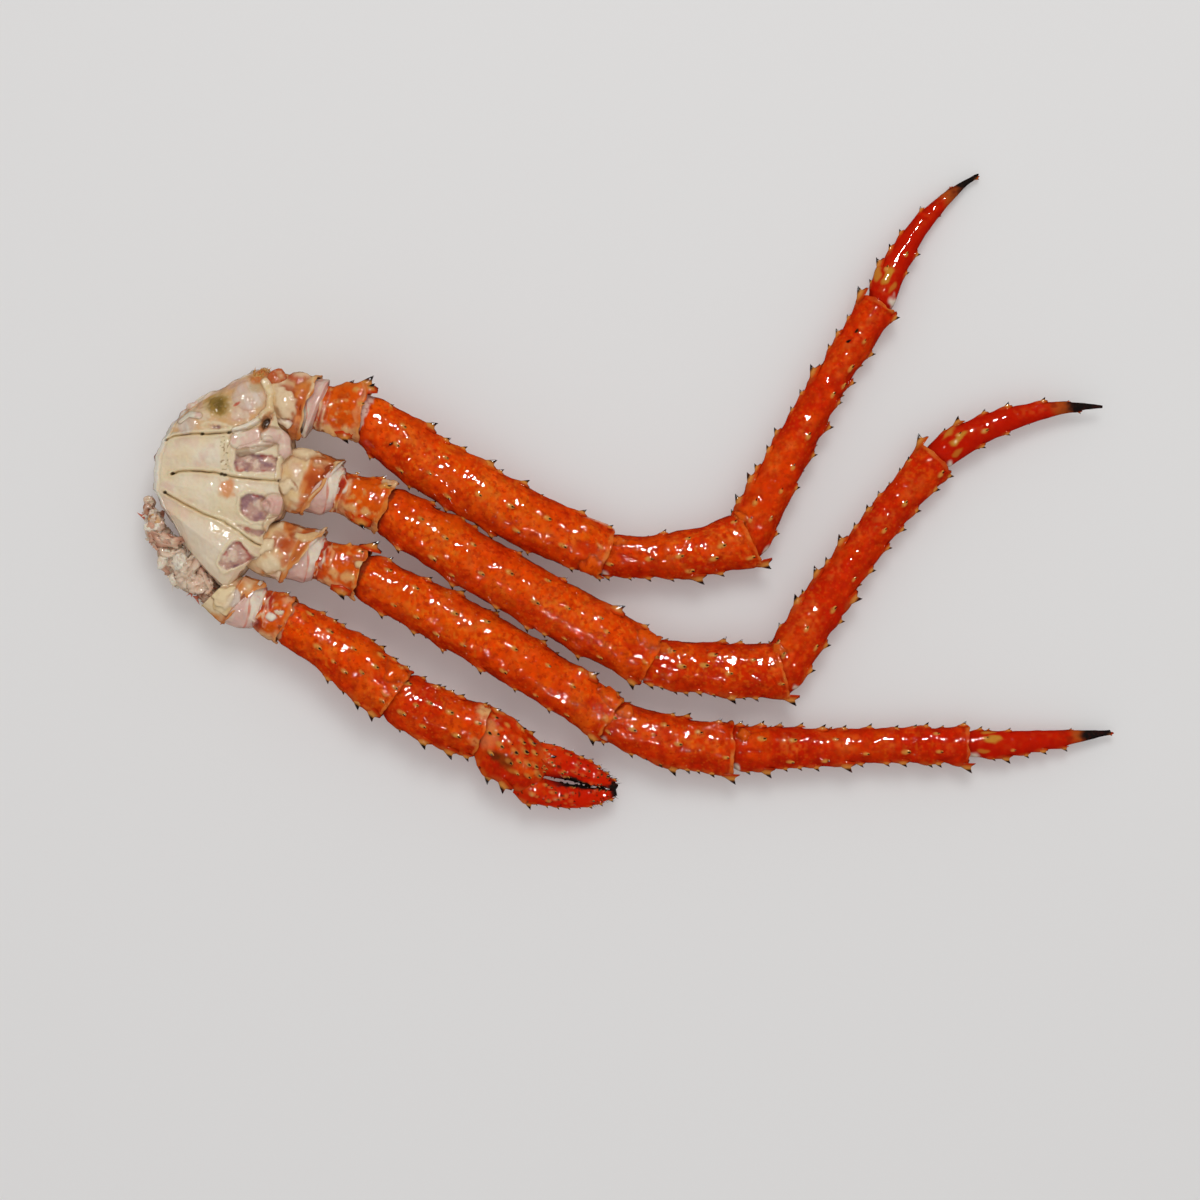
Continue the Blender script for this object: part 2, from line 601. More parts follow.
# ---------------------------------------------------------------- rows of thorns
# Places run from 0 at a segment's start to 1 at its end; knobs also give millimetres to the left
# of the middle line.
ROWS = {
    "hind_merus": Rows(
        left=(0.06, 0.21, 0.29, 0.36, 0.47, 0.52, 0.62, 0.86, 0.98),
        right=(0.10, 0.27, 0.42, 0.60, 0.74, 0.90, 1.0),
        knobs=((0.14, 7.6), (0.33, 6.7), (0.62, 1.9), (0.76, 4.4), (0.16, -1.3), (0.31, -4),
               (0.41, -9), (0.50, -0.5), (0.68, -7.5), (0.85, -4.6), (0.22, -10.5)),
        large=(0.21, 0.47)),
    "hind_carpus": Rows(
        left=(0.40,), right=(0.03, 0.16, 0.28, 0.43, 0.60, 0.75, 1.0),
        knobs=((0.58, 6.8), (0.81, 0), (0.96, 9.4), (0.04, -5.1), (0.30, -1.6), (0.51, -1.2),
               (0.57, -8.6), (0.74, -5), (0.96, -9.3)),
        large=(0.60, 1.0)),
    "hind_propodus": Rows(
        left=(0.03, 0.10, 0.19, 0.24, 0.32, 0.39, 0.49, 0.56, 0.65, 0.76, 0.82, 0.89, 0.99),
        right=(0.06, 0.24, 0.38, 0.50, 0.60, 0.69, 0.82, 0.98),
        knobs=((0.13, 4.4), (0.10, -5.6), (0.21, -3.9), (0.31, -3.8), (0.44, -3.3), (0.62, -4),
               (0.67, -6.3), (0.74, -4.8), (0.85, -3.3), (0.06, 3)),
        large=(0.10, 0.19, 0.65, 0.99)),
    "hind_dactyl": Rows(left=(0.09, 0.20, 0.31, 0.42, 0.60), right=(0.22, 0.36),
                        knobs=((0.20, 3.2), (0.33, -2)), large=(0.20,)),
    "middle_merus": Rows(
        left=(0.12, 0.23, 0.28, 0.45, 0.62, 0.82, 0.93),
        right=(0.10, 0.31, 0.47, 0.59, 0.65, 0.78, 0.97),
        knobs=((0.12, 5), (0.22, 3), (0.31, 7), (0.46, 4), (0.58, 10), (0.68, 3), (0.79, 6.5),
               (0.83, 2), (0.22, -8.5), (0.30, -11), (0.38, -3), (0.58, -2), (0.72, -11),
               (0.85, -10.5)),
        large=(0.82, 0.97)),
    "middle_carpus": Rows(
        left=(0.53, 0.67), right=(0.04, 0.11, 0.20, 0.28, 0.38, 0.48, 0.61, 0.70, 0.79, 1.0),
        knobs=((0.03, 2.1), (0.41, 1.4), (0.47, 6.7), (0.78, 5.2), (0.24, -0.4), (0.60, -1.7),
               (0.97, -6.9), (0.14, 6)),
        large=(0.61, 1.0)),
    "middle_propodus": Rows(
        left=(0.13, 0.24, 0.28, 0.37, 0.43, 0.52, 0.60, 0.68, 0.75, 0.87, 0.92, 1.0),
        right=(0.06, 0.16, 0.27, 0.37, 0.50, 0.61, 0.70, 0.79, 0.90, 0.98),
        knobs=((0.04, 3.5), (0.07, 8.6), (0.18, 0.7), (0.14, -8), (0.30, -5), (0.44, -5),
               (0.66, -2.7), (0.79, -2.4), (0.97, -6.4)),
        large=(0.24, 0.37, 0.52, 1.0)),
    "middle_dactyl": Rows(left=(0.11, 0.19, 0.34, 0.47, 0.67), right=(0.25, 0.42),
                          knobs=((0.17, 3.4), (0.31, -0.9)), large=(0.19,)),
    "fore_merus": Rows(
        left=(0.06, 0.21, 0.33, 0.47, 0.66, 0.86, 0.97),
        right=(0.12, 0.25, 0.37, 0.52, 0.66, 0.80, 0.98),
        knobs=((0.08, 8), (0.19, 6.2), (0.35, 4.4), (0.46, 8.5), (0.59, 3.9), (0.72, 5.5),
               (0.83, 10.5), (0.83, 3.4), (0.15, -5.9), (0.24, -6), (0.33, -8.8), (0.43, -6.9),
               (0.60, -8), (0.74, -9.8), (0.87, -10)),
        large=(0.86, 0.98)),
    "fore_carpus": Rows(
        left=(0.47, 0.60, 0.88), right=(0.03, 0.24, 0.35, 0.46, 0.56, 0.67, 0.75, 0.85, 0.99),
        knobs=((0.02, 1.6), (0.37, 0.6), (0.44, 6.3), (0.73, 6.1), (0.04, -6.4), (0.20, -0.3),
               (0.58, -0.8), (0.96, -4.6)),
        large=(0.56, 0.99)),
    "fore_propodus": Rows(
        left=(0.03, 0.12, 0.20, 0.29, 0.38, 0.47, 0.58, 0.69, 0.77, 0.82, 0.98),
        right=(0.06, 0.14, 0.22, 0.28, 0.35, 0.48, 0.54, 0.65, 0.72, 0.83, 0.87, 0.99),
        knobs=((0.13, 4.2), (0.26, 3.5), (0.44, 3.7), (0.87, 5.5), (0.25, -7), (0.40, -6.2),
               (0.57, -3.5), (0.74, -2.8), (0.88, -3)),
        large=(0.14, 0.48, 0.99)),
    "fore_dactyl": Rows(left=(0.08, 0.28), right=(0.16, 0.25, 0.39, 0.51, 0.66),
                        knobs=((0.12, 3), (0.31, -3.4)), large=(0.25,)),
    "claw_merus": Rows(
        left=(0.20, 0.30, 0.37, 0.52, 0.61, 0.70, 0.83, 0.94), right=(0.50, 0.65, 0.79, 0.93),
        knobs=((0.14, 9), (0.33, 7), (0.55, 6.4), (0.75, 11), (0.76, 5.6), (0.93, 11),
               (0.97, 3.1), (0.32, -2.3), (0.48, -3.9), (0.59, -4.9), (0.70, -0.5), (0.95, -5.8)),
        large=(0.79, 0.93)),
    "claw_carpus": Rows(
        left=(0.15, 0.35, 0.42, 0.53, 0.66, 0.93), right=(0.20, 0.45, 0.72, 0.91),
        knobs=((0.05, 8.2), (0.37, 4.8), (0.62, 4.3), (0.94, 3.5), (0.17, -5.6), (0.41, -6.8),
               (0.77, -5.2), (0.25, 1)),
        large=(0.45, 0.72)),
}
EDGE_THORN = {"merus": 3.1, "carpus": 3.1, "propodus": 3.0, "dactyl": 2.5}
REDNESS = {"merus": 0.22, "carpus": 0.54, "propodus": 0.72, "dactyl": 1.0}
FLAP_ORANGE = (0.80, 0.10, 0.003)
SMALL_KNOB = (0.76, 0.28, 0.05)
LOBE_ORANGE = (0.74, 0.14, 0.010)


def socket_patches(run, side):
    """At the far end of a merus: the round flap over the joint on the left (side 1) or the right
    (-1) with a dark crease round it, a small cream knob, and a hollow behind them."""
    width = run.widths[-1] / MM
    end = run.length / MM
    return [
        Patch(1 - 10.0 / end, 90 - 8 * side, 7.0, 0.22 * width, -1.0, RED, 0.7),
        Patch(1 - 5.6 / end, 90 - 46 * side, 6.4, 0.38 * width, 2.3, FLAP_ORANGE, 0.5),
        Patch(1 - 3.2 / end, 90 + 8 * side, 2.0, 0.11 * width, 1.1, SMALL_KNOB, 0.7),
        Patch(1 - 12.0 / end, 90 + 40 * side, 7.0, 0.3 * width, 0.9, AMBER, 0.3),
    ]


def knuckle_patches(run):
    """At the start of a carpus or propodus: a lobe that meets the flap before it, moist white
    skin on the outer side of the bend, and a hollow between."""
    width = run.widths[0] / MM
    length = run.length / MM
    return [
        Patch(1.5 / length, 168, 2.4, 0.42 * width, 0.1, IVORY, 0.9),
        Patch(4.6 / length, 50, 4.0, 0.30 * width, 2.1, LOBE_ORANGE, 0.6),
        Patch(9.0 / length, 96, 6.0, 0.13 * width, -0.9, RED, 0.6),
        Patch(12.0 / length, 60, 7.0, 0.30 * width, 0.8, AMBER, 0.3),
    ]


TOE_RED = (0.50, 0.005, 0.001)
TOE_BROWN = (0.36, 0.11, 0.015)


def dactyl_paint(points, angle, redness):
    """Red shell that blackens towards the claw's point, with ochre and dark streaks before it."""
    colours = shell_paint(points, angle, redness)
    share = np.linspace(0, 1, len(points))[:, None] + 0.035 * grainy(points, 5 * MM, 31)
    streak = ramp(mottle(points * np.array([0.5, 1.0, 1.0]), 2.0 * MM, 17), 0.15, 0.7)
    colours = blend(colours, TOE_RED, 0.5)
    colours = blend(colours, TOE_BROWN, 0.6 * ramp(share, 0.68, 0.80))
    colours = blend(colours, MAROON, 0.6 * streak * ramp(share, 0.5, 0.75))
    return blend(colours, SOOT, ramp(share, 0.78, 0.86))


def build_dactyl(name, run, rng):
    """The last segment: a curved pick that tapers evenly to a blunt black point, with ochre
    patches at its root."""
    spots = spots_of(run, ROWS[name], EDGE_THORN["dactyl"], rng, under=26 * MM)
    patches = [
        Patch(0.15, 74, 5.5, 2.0, 0.35, OCHRE, 0.9),
        Patch(0.13, 30, 3.8, 1.8, 0.2, OCHRE, 0.7),
        Patch(0.10, 120, 3.0, 1.6, 0.15, OCHRE, 0.5),
        Patch(0.03, 158, 3.6, 3.6, 0.1, IVORY, 0.9),
    ]
    run.widths = run.widths * np.linspace(1.02, 0.96, len(run.widths))
    run.widths[-1] = 0.55 * MM
    return build_shell(run, REDNESS["dactyl"], spots, patches, turns=72, neck=4 * MM,
                       pointed=True, lumpy=0.5, painter=dactyl_paint, grain=0.1)


# ---------------------------------------------------------------- the root of each leg
ROOT_TAN = (0.76, 0.52, 0.26)
ROOT_ORANGE = (0.68, 0.19, 0.025)
ROOT_BROWN = (0.50, 0.10, 0.018)
ROOT_PEACH = (0.76, 0.40, 0.24)
ROOT_UNDER = (0.76, 0.60, 0.38)


def coxa_paint(points, angle, _redness):
    """Tan and cream shell with orange-brown fields and streaks that run round the leg and are
    thickest towards its front, peach and pink in places, cream under it."""
    share = np.linspace(0, 1, len(points))[:, None] + 0 * angle
    colours = mottled(all_over(ROOT_TAN, points), CREAM, 0.8, points, 6 * MM, 41, -0.3, 0.6)
    streaks = points @ np.array([[1.0, 0, 0], [-0.4, 0.28, 0], [0, 0, 0.4]])
    rust = grainy(streaks, 5 * MM, 43) + 1.15 * bell(share, 0.66, 0.27)
    colours = blend(colours, ROOT_ORANGE, 0.85 * ramp(rust, 0.15, 0.85))
    deep = ramp(rust + 0.3 * mottle(streaks, 1.6 * MM, 45), 0.9, 1.6)
    colours = blend(colours, ROOT_BROWN, 0.7 * deep)
    colours = mottled(colours, ROOT_PEACH, 0.5, points, 5 * MM, 46, 0.25, 0.8)
    return blend(colours, ROOT_UNDER, 0.8 * ramp(np.sin(angle), 0.15, -0.3))


RING_ORANGE = (0.70, 0.12, 0.006)
RING_TAN = (0.76, 0.36, 0.09)
RING_BROWN = (0.46, 0.06, 0.008)
RING_CREAM = (0.76, 0.50, 0.23)
RING_END = (0.74, 0.36, 0.11)


def ischium_paint(points, angle, _redness):
    """Brown-orange shell with small tan mottles, cream blotches low on the right side and under
    it, and paler ends."""
    colours = blend(shell_paint(points, angle, 0.1), RING_ORANGE, 0.5)
    colours = mottled(colours, RING_TAN, 0.6, points, 2.8 * MM, 45, 0.25, 0.85)
    colours = mottled(colours, RING_BROWN, 0.6, points, 4 * MM, 48, 0.2, 0.9)
    low = ramp(np.cos(angle) + 0.35 * grainy(points, 5 * MM, 47), -0.55, -0.95)
    colours = blend(colours, RING_CREAM, 0.6 * low)
    ends = np.linspace(0, 1, len(points))[:, None] + 0.12 * grainy(points, 4 * MM, 49)
    return blend(colours, RING_END, 0.6 * ramp(ends, 0.82, 0.97))


SKIN_PINK = (0.74, 0.48, 0.40)
SKIN_ROSE = (0.70, 0.13, 0.07)
SKIN_END = (0.58, 0.10, 0.04)


def skin_paint(points, angle):
    """Moist pale skin: pink-white with rosy, grey and cream streaks that run round the leg."""
    share = np.linspace(0, 1, len(points))[:, None] + 0.10 * np.sin(2 * angle)
    fold = grainy(np.stack([share * 5, angle * 0.8, 0 * angle], axis=-1), 1.0, 53, 3)
    colours = blend(all_over(SKIN_PINK, points), IVORY, 0.9 * ramp(fold, -0.6, 0.2))
    rosy = grainy(np.stack([share * 7, angle * 0.9, 0 * angle], axis=-1), 1.0, 57, 2)
    colours = blend(colours, SKIN_ROSE, 0.75 * ramp(rosy - 0.35 + 0.6 * share, 0.2, 0.7))
    colours = blend(colours, MAUVE, 0.3 * ramp(mottle(points, 4 * MM, 59), 0.2, 0.9))
    return blend(colours, SKIN_END, 0.8 * ramp(share, 0.82, 0.96) * ramp(rosy, -0.4, 0.5))


# How many millimetres the coxa reaches over the skin.
COXA_GROWTH = {"hind": 3.6, "middle": 0.8, "fore": 0.8, "claw": 0.5}
# How far ahead each millimetre to the left lies on the coxa's rim and on the ischium's start, and
# how many millimetres the ischium reaches back over the skin.
LEAN = {"hind": (0.26, -0.06, 2.4), "middle": (0.52, 0.06, 3.0), "fore": (0.58, 0.08, 3.0),
        "claw": (0.42, 0.0, 1.5)}


SKIN_TUCK = 3.0 * MM  # how far a skin reaches in under each of its two shells


def build_skin(run, wide):
    """A soft skin between two shells: a sleeve that narrows along the leg from the wide girth of
    the coxa to the next shell's, swells a little between, and has folds round it."""
    piece = Piece()
    along = np.linspace(-SKIN_TUCK, run.length + SKIN_TUCK, 64)
    along_grid, angle_grid = np.meshgrid(along, full_turn(144), indexing="ij")
    share = (along_grid + SKIN_TUCK) / (run.length + 2 * SKIN_TUCK)
    girth = wide + (1.0 - wide) * ramp(share, 0.1, 1.0) + 0.08 * np.sin(math.pi * share)
    girth = girth * (1 - 0.25 * ramp(share, 0.12, 0.0) - 0.12 * ramp(share, 0.9, 1.0))
    points, outward, _ = on_shell(run, along_grid, angle_grid, girth)
    wave = 1.6 * share + 0.25 * np.sin(angle_grid) + mottle(points, 9 * MM, 61)
    wave = np.sin(2 * math.pi * wave)
    folds = 0.16 * MM * wave + 0.5 * MM * grainy(points, 7 * MM, 63)
    points = points + folds[..., None] * outward
    piece.closed_tube(points, skin_paint(points, angle_grid), 0.25)
    return piece


# Lobes and hollows of the first two segments. Places are millimetres from the fan's hub, as the
# shoulder's are: x away from the body, y towards the hind leg. Then half-length, half-breadth,
# height, colour and how strongly it covers.
COXA_PATCHES = {
    "hind": ((99.5, 31.0, 4.2, 9.0, 0.3, (0.68, 0.20, 0.03), 0.75),
             (93.7, 26.4, 4.6, 9.2, 1.5, (0.80, 0.60, 0.38), 0.85),
             (91.2, 14.9, 4.0, 2.8, 2.2, IVORY, 1), (99.0, 25.0, 2.0, 12, -0.9, RUST, 0.7),
             (97.5, 39.6, 3.6, 5.5, 1.8, (0.52, 0.085, 0.03), 0.9),
             (103.6, 24.0, 1.3, 16, 0.9, TAN, 0.8), (98.0, 17.0, 3.0, 3.0, 0.5, PEACH, 0.8)),
    "middle": ((103.1, 0.2, 5.6, 5.0, 2.6, TAN, 0.8), (109.8, -4.2, 2.2, 3.0, -1.7, TAN, 0.6),
               (116.6, -3.0, 2.6, 3.6, 1.6, TAN, 0.8), (94.6, -16.4, 4.4, 3.9, 1.9, CREAM, 0.9),
               (99.3, -8.0, 4.5, 4.6, 1.0, (0.78, 0.53, 0.34), 0.9),
               (106.5, -11.0, 3.6, 7.5, -0.9, RUST, 0.8),
               (102.5, -23.0, 5.0, 3.6, 0.4, RUST, 0.8), (98.6, -21.0, 2.8, 3.4, 0.8, TAN, 0.7),
               (112.0, -13.5, 1.2, 13, 1.0, TAN, 0.8)),
    "fore": ((84.2, -45.0, 4.0, 4.4, 2.0, CREAM, 0.9), (86.6, -53.6, 4.4, 5.2, 1.1, CREAM, 0.9),
             (102.0, -38.4, 5.4, 3.6, 1.6, TAN, 0.8), (93.4, -43.0, 4.4, 4.4, -0.9, RUST, 0.85),
             (93.4, -52.0, 4.6, 5.0, -0.6, RUST, 0.7), (110.4, -36.0, 2.4, 2.8, 1.8, CREAM, 0.9),
             (90.0, -60.0, 3.6, 3.6, 1.3, (0.76, 0.50, 0.38), 0.9),
             (104.4, -45.0, 1.2, 12, 0.9, TAN, 0.8)),
    "claw": ((60.4, -68.4, 4.6, 6.5, 2.4, (0.80, 0.63, 0.34), 1), (62.4, -75.4, 4.0, 4.0, 1.6, TAN, 1),
             (70.4, -61.6, 3.0, 6.0, 0.8, (0.68, 0.19, 0.045), 0.9),
             (68.6, -71.0, 4.0, 5.0, 1.3, (0.70, 0.56, 0.46), 1)),
}
ISCHIUM_PATCHES = {
    "hind": ((108.4, 23.3, 1.4, 9, 0.8, BLOOD, 0.6),
             (112.0, 23.3, 1.3, 9, 0.9, (0.78, 0.42, 0.2), 0.7),
             (114.5, 13.2, 4.0, 2.6, 0.8, BLOTCH, 0.7), (123.8, 13.0, 3.6, 2.6, 0.8, BLOTCH, 0.7),
             (130.0, 26.0, 1.4, 14, 0.8, PEACH, 0.5)),
    "middle": ((121.0, -12.4, 2.2, 6.5, 1.1, BLOOD, 0.75), (124.6, -16.0, 1.4, 7, 0.9, PEACH, 0.7),
               (122.8, -16.6, 0.8, 3.0, 0.9, IVORY, 0.9), (127.3, -26.4, 4.6, 3.2, 0.8, BLOTCH, 0.7),
               (135.0, -28.2, 3.0, 3.0, 0.7, BLOTCH, 0.7), (121.2, -25.0, 2.4, 3.8, 0.7, BLOTCH, 0.7),
               (144.4, -14.0, 3.2, 3.4, 1.6, TAN, 0.9), (130.6, -12.6, 1.3, 1.3, 0.8, TAN, 0.9),
               (129.0, -8.0, 1.2, 1.2, 0.6, TAN, 0.8)),
    "fore": ((113.3, -45.5, 1.8, 7, 1.1, BLOOD, 0.7), (116.2, -50.4, 1.3, 8, 0.9, PEACH, 0.8),
             (111.6, -52.0, 0.9, 3.6, 0.9, IVORY, 0.9), (118.2, -58.4, 4.0, 3.4, 0.8, BLOTCH, 0.7),
             (125.5, -60.2, 3.0, 3.0, 0.7, BLOTCH, 0.7), (132.0, -54.6, 4.0, 3.0, 1.5, TAN, 0.9),
             (125.5, -45.3, 1.8, 1.8, 0.9, TAN, 0.8)),
    "claw": ((85.0, -71.4, 2.4, 5.0, 1.1, BLOOD, 0.9),
             (80.0, -73.8, 1.2, 4.0, 0.8, (0.7, 0.2, 0.05), 0.8),
             (77.0, -82.0, 2.4, 3.0, 1.6, IVORY, 1), (85.0, -79.8, 2.8, 2.2, 1.5, IVORY, 1),
             (89.5, -77.0, 3.0, 2.0, 1.3, CREAM, 1), (94.5, -72.0, 3.4, 3.6, 0.6, PEACH, 0.8)),
}
ISCHIUM_SPOTS = {  # place from the hub, height, whether it is a knob
    "hind": ((124.5, 36.0, 4.6, False), (131.4, 35.6, 6.6, False), (134.6, 32.0, 4.4, False),
             (123.0, 11.0, 4.8, False), (128.8, 31.0, 2.4, True), (131.6, 25.6, 2.2, True)),
    "middle": ((131.6, -31.6, 5.2, False), (144.0, -15.6, 3.4, True), (143.0, -6.0, 3.0, False),
               (129.5, -7.0, 2.4, True), (138.5, -8.0, 2.4, True)),
    "fore": ((121.5, -66.0, 5.2, False), (135.6, -46.6, 5.6, False), (125.5, -45.4, 2.6, True),
             (131.0, -48.0, 2.4, True)),
    "claw": ((93.5, -68.0, 3.0, False),),
}
SCAR = (0.03, 0.008, 0.004)
# Dark scars, tan ends and a strip of pale skin, in the same measures.
MARKS = {
    "claw_carpus": ((190.8, -127.5, 5.0, 5.0, 0.4, (0.80, 0.54, 0.22), 0.75),
                    (188.6, -142.0, 3.4, 2.4, 0.5, (0.78, 0.40, 0.12), 0.4)),
    "hind_merus": ((146.0, 6.3, 0.9, 2.2, -0.5, SCAR, 1.2),
                   (253.0, -32.5, 11.0, 1.8, 0.8, (0.80, 0.48, 0.34), 0.9)),
    "hind_propodus": ((375.5, 57.5, 1.2, 0.9, -0.4, SCAR, 1.2),
                      (377.5, 62.0, 1.4, 0.8, -0.4, SCAR, 1.2)),
}
DARK_NECK = (0.20, 0.03, 0.01)
NECK_TINTS = {"hind": (0.80, 0.58, 0.47), "middle": DARK_NECK, "fore": DARK_NECK,
              "claw": (0.66, 0.34, 0.17)}


def place_on(run, hub, x, y):
    """Share of the run's length, and degrees round it, of a point given in millimetres from the
    fan's hub: the nearest of 400 places along the run, and the angle whose cosine is the point's
    share of the half-width to its left."""
    along = np.linspace(0, run.length, 400)
    centre, _, left, _ = run.at(along)
    away = hub[:2] + np.array([x, y]) * MM - centre[:, :2]
    nearest = np.argmin(np.hypot(away[:, 0], away[:, 1]))
    across = (away[nearest] @ left[nearest, :2]) / run.width(along[nearest])
    return nearest / 399, math.degrees(math.acos(np.clip(across, -0.97, 0.97)))


def patches_at(run, hub, rows):
    """Patches from rows that start with a point from the fan's hub."""
    return [Patch(*place_on(run, hub, x, y), *rest) for x, y, *rest in rows]


# ---------------------------------------------------------------- legs
def build_root(leg, hub, materials):
    """The leg's first two segments and the skin between them. Returns the second's run."""
    lean_coxa, lean_ischium, overlap = LEAN[leg]
    coxa = gauge(f"{leg}_coxa", hub, 2)
    coxa.end_slant = lean_coxa / END_SHEAR
    patches = patches_at(coxa, hub, COXA_PATCHES[leg])
    grow = COXA_GROWTH[leg] * MM
    coxa.end = coxa.end + grow * (coxa.end - coxa.start) / coxa.length
    coxa.control = (coxa.start + coxa.end) / 2
    coxa.length += grow
    piece = build_shell(coxa, 1.0, patches=patches, spacing=0.4 * MM, turns=144, lumpy=2.1,
                        lip=0.5 * MM, ragged=1.6 * MM, painter=coxa_paint, crests=0.7, grain=0.2)
    piece.finish(f"{leg}_coxa_shell", f"{leg}_coxa", "shell", materials)

    skin = gauge(f"{leg}_skin", coxa.end, 2)
    skin.start_slant, skin.end_slant = lean_coxa / START_SHEAR, lean_ischium / END_SHEAR
    piece = build_skin(skin, 0.93 * coxa.widths[-1] / skin.widths[0])
    piece.finish(f"{leg}_joint_skin", f"{leg}_skin", "joint_skin", materials)

    ischium = gauge(f"{leg}_ischium", skin.end, 3)
    ischium.start_slant = lean_ischium / START_SHEAR
    ischium.start = ischium.start + overlap * MM * (ischium.start - ischium.end) / ischium.length
    ischium.length += overlap * MM
    ischium.widths = ischium.widths * np.array([0.90, 0.97, 1.03])
    patches = patches_at(ischium, hub, ISCHIUM_PATCHES[leg])
    spots = [Spot(*place_on(ischium, hub, x, y), *rest) for x, y, *rest in ISCHIUM_SPOTS[leg]]
    piece = build_shell(ischium, 0.1, spots, patches, spacing=0.4 * MM, turns=136, lumpy=1.8,
                        lip=0.5 * MM, ragged=1.8 * MM, painter=ischium_paint, crests=0.3,
                        grain=0.5, torn=1.0)
    piece.finish(f"{leg}_ischium_shell", f"{leg}_ischium", "shell", materials)
    return ischium


def build_leg(leg, hub, materials, rng):
    """One walking leg or the claw arm, from the shoulder out. Returns where its line ends."""
    last = build_root(leg, hub, materials)
    for segment in ("merus", "carpus", "propodus"):
        if leg == "claw" and segment == "propodus":
            return last
        name = f"{leg}_{segment}"
        run = gauge(name, last.end)
        spots = spots_of(run, ROWS[name], EDGE_THORN[segment], rng)
        patches = patches_at(run, hub, MARKS.get(name, ()))
        if segment == "merus":
            patches += socket_patches(run, -1 if leg == "hind" else 1)
        elif leg != "claw":
            patches += knuckle_patches(run)
        turns, grain, lip = (112, 0.6, 0.35) if segment == "propodus" else (136, 1.0, 0.6)
        piece = build_shell(run, REDNESS[segment], spots, patches, turns=turns, grain=grain,
                            neck_tint=NECK_TINTS[leg] if segment == "merus" else None,
                            ragged=1.0 * MM, lip=lip * MM)
        piece.finish(f"{name}_shell", name, "shell", materials)
        last = run
    run = gauge(f"{leg}_dactyl", last.end, 7, pointed=True)
    piece = build_dactyl(f"{leg}_dactyl", run, rng)
    piece.finish(f"{leg}_dactyl_pick", f"{leg}_dactyl", "shell", materials)
    return run


# ---------------------------------------------------------------- the claw
PALM_ROWS = Rows(
    left=(0.02, 0.24, 0.36, 0.48, 0.66, 0.86), right=(0.20, 0.41, 0.64, 0.94),
    knobs=((0.38, 4.4), (0.60, 11), (0.60, 6.1), (0.85, 10.4), (0.82, 3.7), (0.84, -2.1),
           (0.07, 9.2), (0.08, 1.7), (0.34, 12), (0.26, -5.4), (0.2, 6.5), (0.62, 0.5),
           (0.49, 8.6), (0.71, 8.3), (0.73, 2.3), (0.17, 3.9), (0.50, 2.8), (0.91, 6.5),
           (0.30, 0.6), (0.53, -2.6), (0.93, 1.2), (0.13, 11.6), (0.70, -4.6), (0.24, 9.4)),
    large=(0.41, 0.64, 0.94, 0.86))
PALM_PATCHES = (
    Patch(0.44, 104, 7.0, 4.4, 0.6, (0.22, 0.036, 0.004), 0.85),
    Patch(0.31, 112, 4.2, 3.2, -0.5, (0.13, 0.022, 0.004), 0.8),
    Patch(0.62, 114, 2.6, 1.8, 0.3, OCHRE, 0.4),
    Patch(0.03, 62, 3.0, 4.0, 0.3, (0.76, 0.42, 0.14), 0.4),
    Patch(0.08, 95, 5.0, 6.0, -0.4, PEACH, 0.35),
    Patch(0.80, 100, 2.8, 2.8, 0.9, AMBER, 0.5),
)
FINGERS = {  # root and tip from the palm's end, ahead of it and to its left; bow; half-widths
    "fixed": ((-9.0, 5.2), (34.4, 21.4), 2.2, (7.6, 7.8, 7.0, 6.1, 4.4, 1.6)),
    "moving": ((-4.0, -8.6), (35.8, 19.6), -3.4, (5.6, 6.2, 5.8, 5.2, 3.9, 1.5)),
}
FINGER_TIP_HEIGHT = 12.0 * MM
PALM_WIDTHS = (12.2, 12.6, 13.1, 13.4, 13.4, 12.9, 11.8, 9.6, 2.4)


PALM_SPECK = (0.10, 0.016, 0.003)


def palm_paint(points, angle, redness):
    """Shell with amber in places and fine dark specks, which stand closer together in patches."""
    colours = shell_paint(points, angle, redness)
    colours = mottled(colours, AMBER, 0.3, points, 4 * MM, 71, 0.0, 0.8)
    closer = ramp(mottle(points, 8 * MM, 72), -0.4, 0.6)
    specks = ramp(mottle(points, 1.1 * MM, 74), 0.85 - 0.4 * closer, 1.0)
    return blend(colours, PALM_SPECK, 0.75 * specks)


FINGER_RED = (0.64, 0.010, 0.001)
FINGER_SPECK = (0.06, 0.012, 0.004)


def finger_paint(points, angle, redness):
    """Bright red shell with dark specks, black along the biting edge and at the point."""
    share = np.linspace(0, 1, len(points))[:, None] + 0 * angle
    colours = shell_paint(points, angle, 0.6)
    colours = blend(colours, FINGER_RED, 0.15 + 0.7 * ramp(share, 0.1, 0.5))
    inner = np.cos(angle) if redness > 0.75 else -np.cos(angle)
    biting = ramp(inner + 0.12 * grainy(points, 2 * MM, 73), 0.55, 0.8)
    colours = blend(colours, SOOT, biting * ramp(share, 0.25, 0.5))
    specks = ramp(mottle(points, 1.5 * MM, 75), 0.55, 0.75)
    colours = blend(colours, FINGER_SPECK, 0.8 * specks)
    return blend(colours, SOOT, ramp(share + 0.05 * grainy(points, 3 * MM, 77), 0.88, 0.96))


def tuft(piece, run, places, inner, rng):
    """Stiff dark bristles that stand out of a finger near its point."""
    for place in places:
        degrees = rng.uniform(-20, 70) if inner > 0 else rng.uniform(110, 200)
        along = np.array([place * run.length])
        base, outward, ahead = on_shell(run, along, np.array([math.radians(degrees)]))
        thorn(piece, base[0], outward[0], ahead[0], rng.uniform(1.2, 2.2) * MM, 0.16 * MM, SOOT,
              lean=1.0, dark_from=0.0)


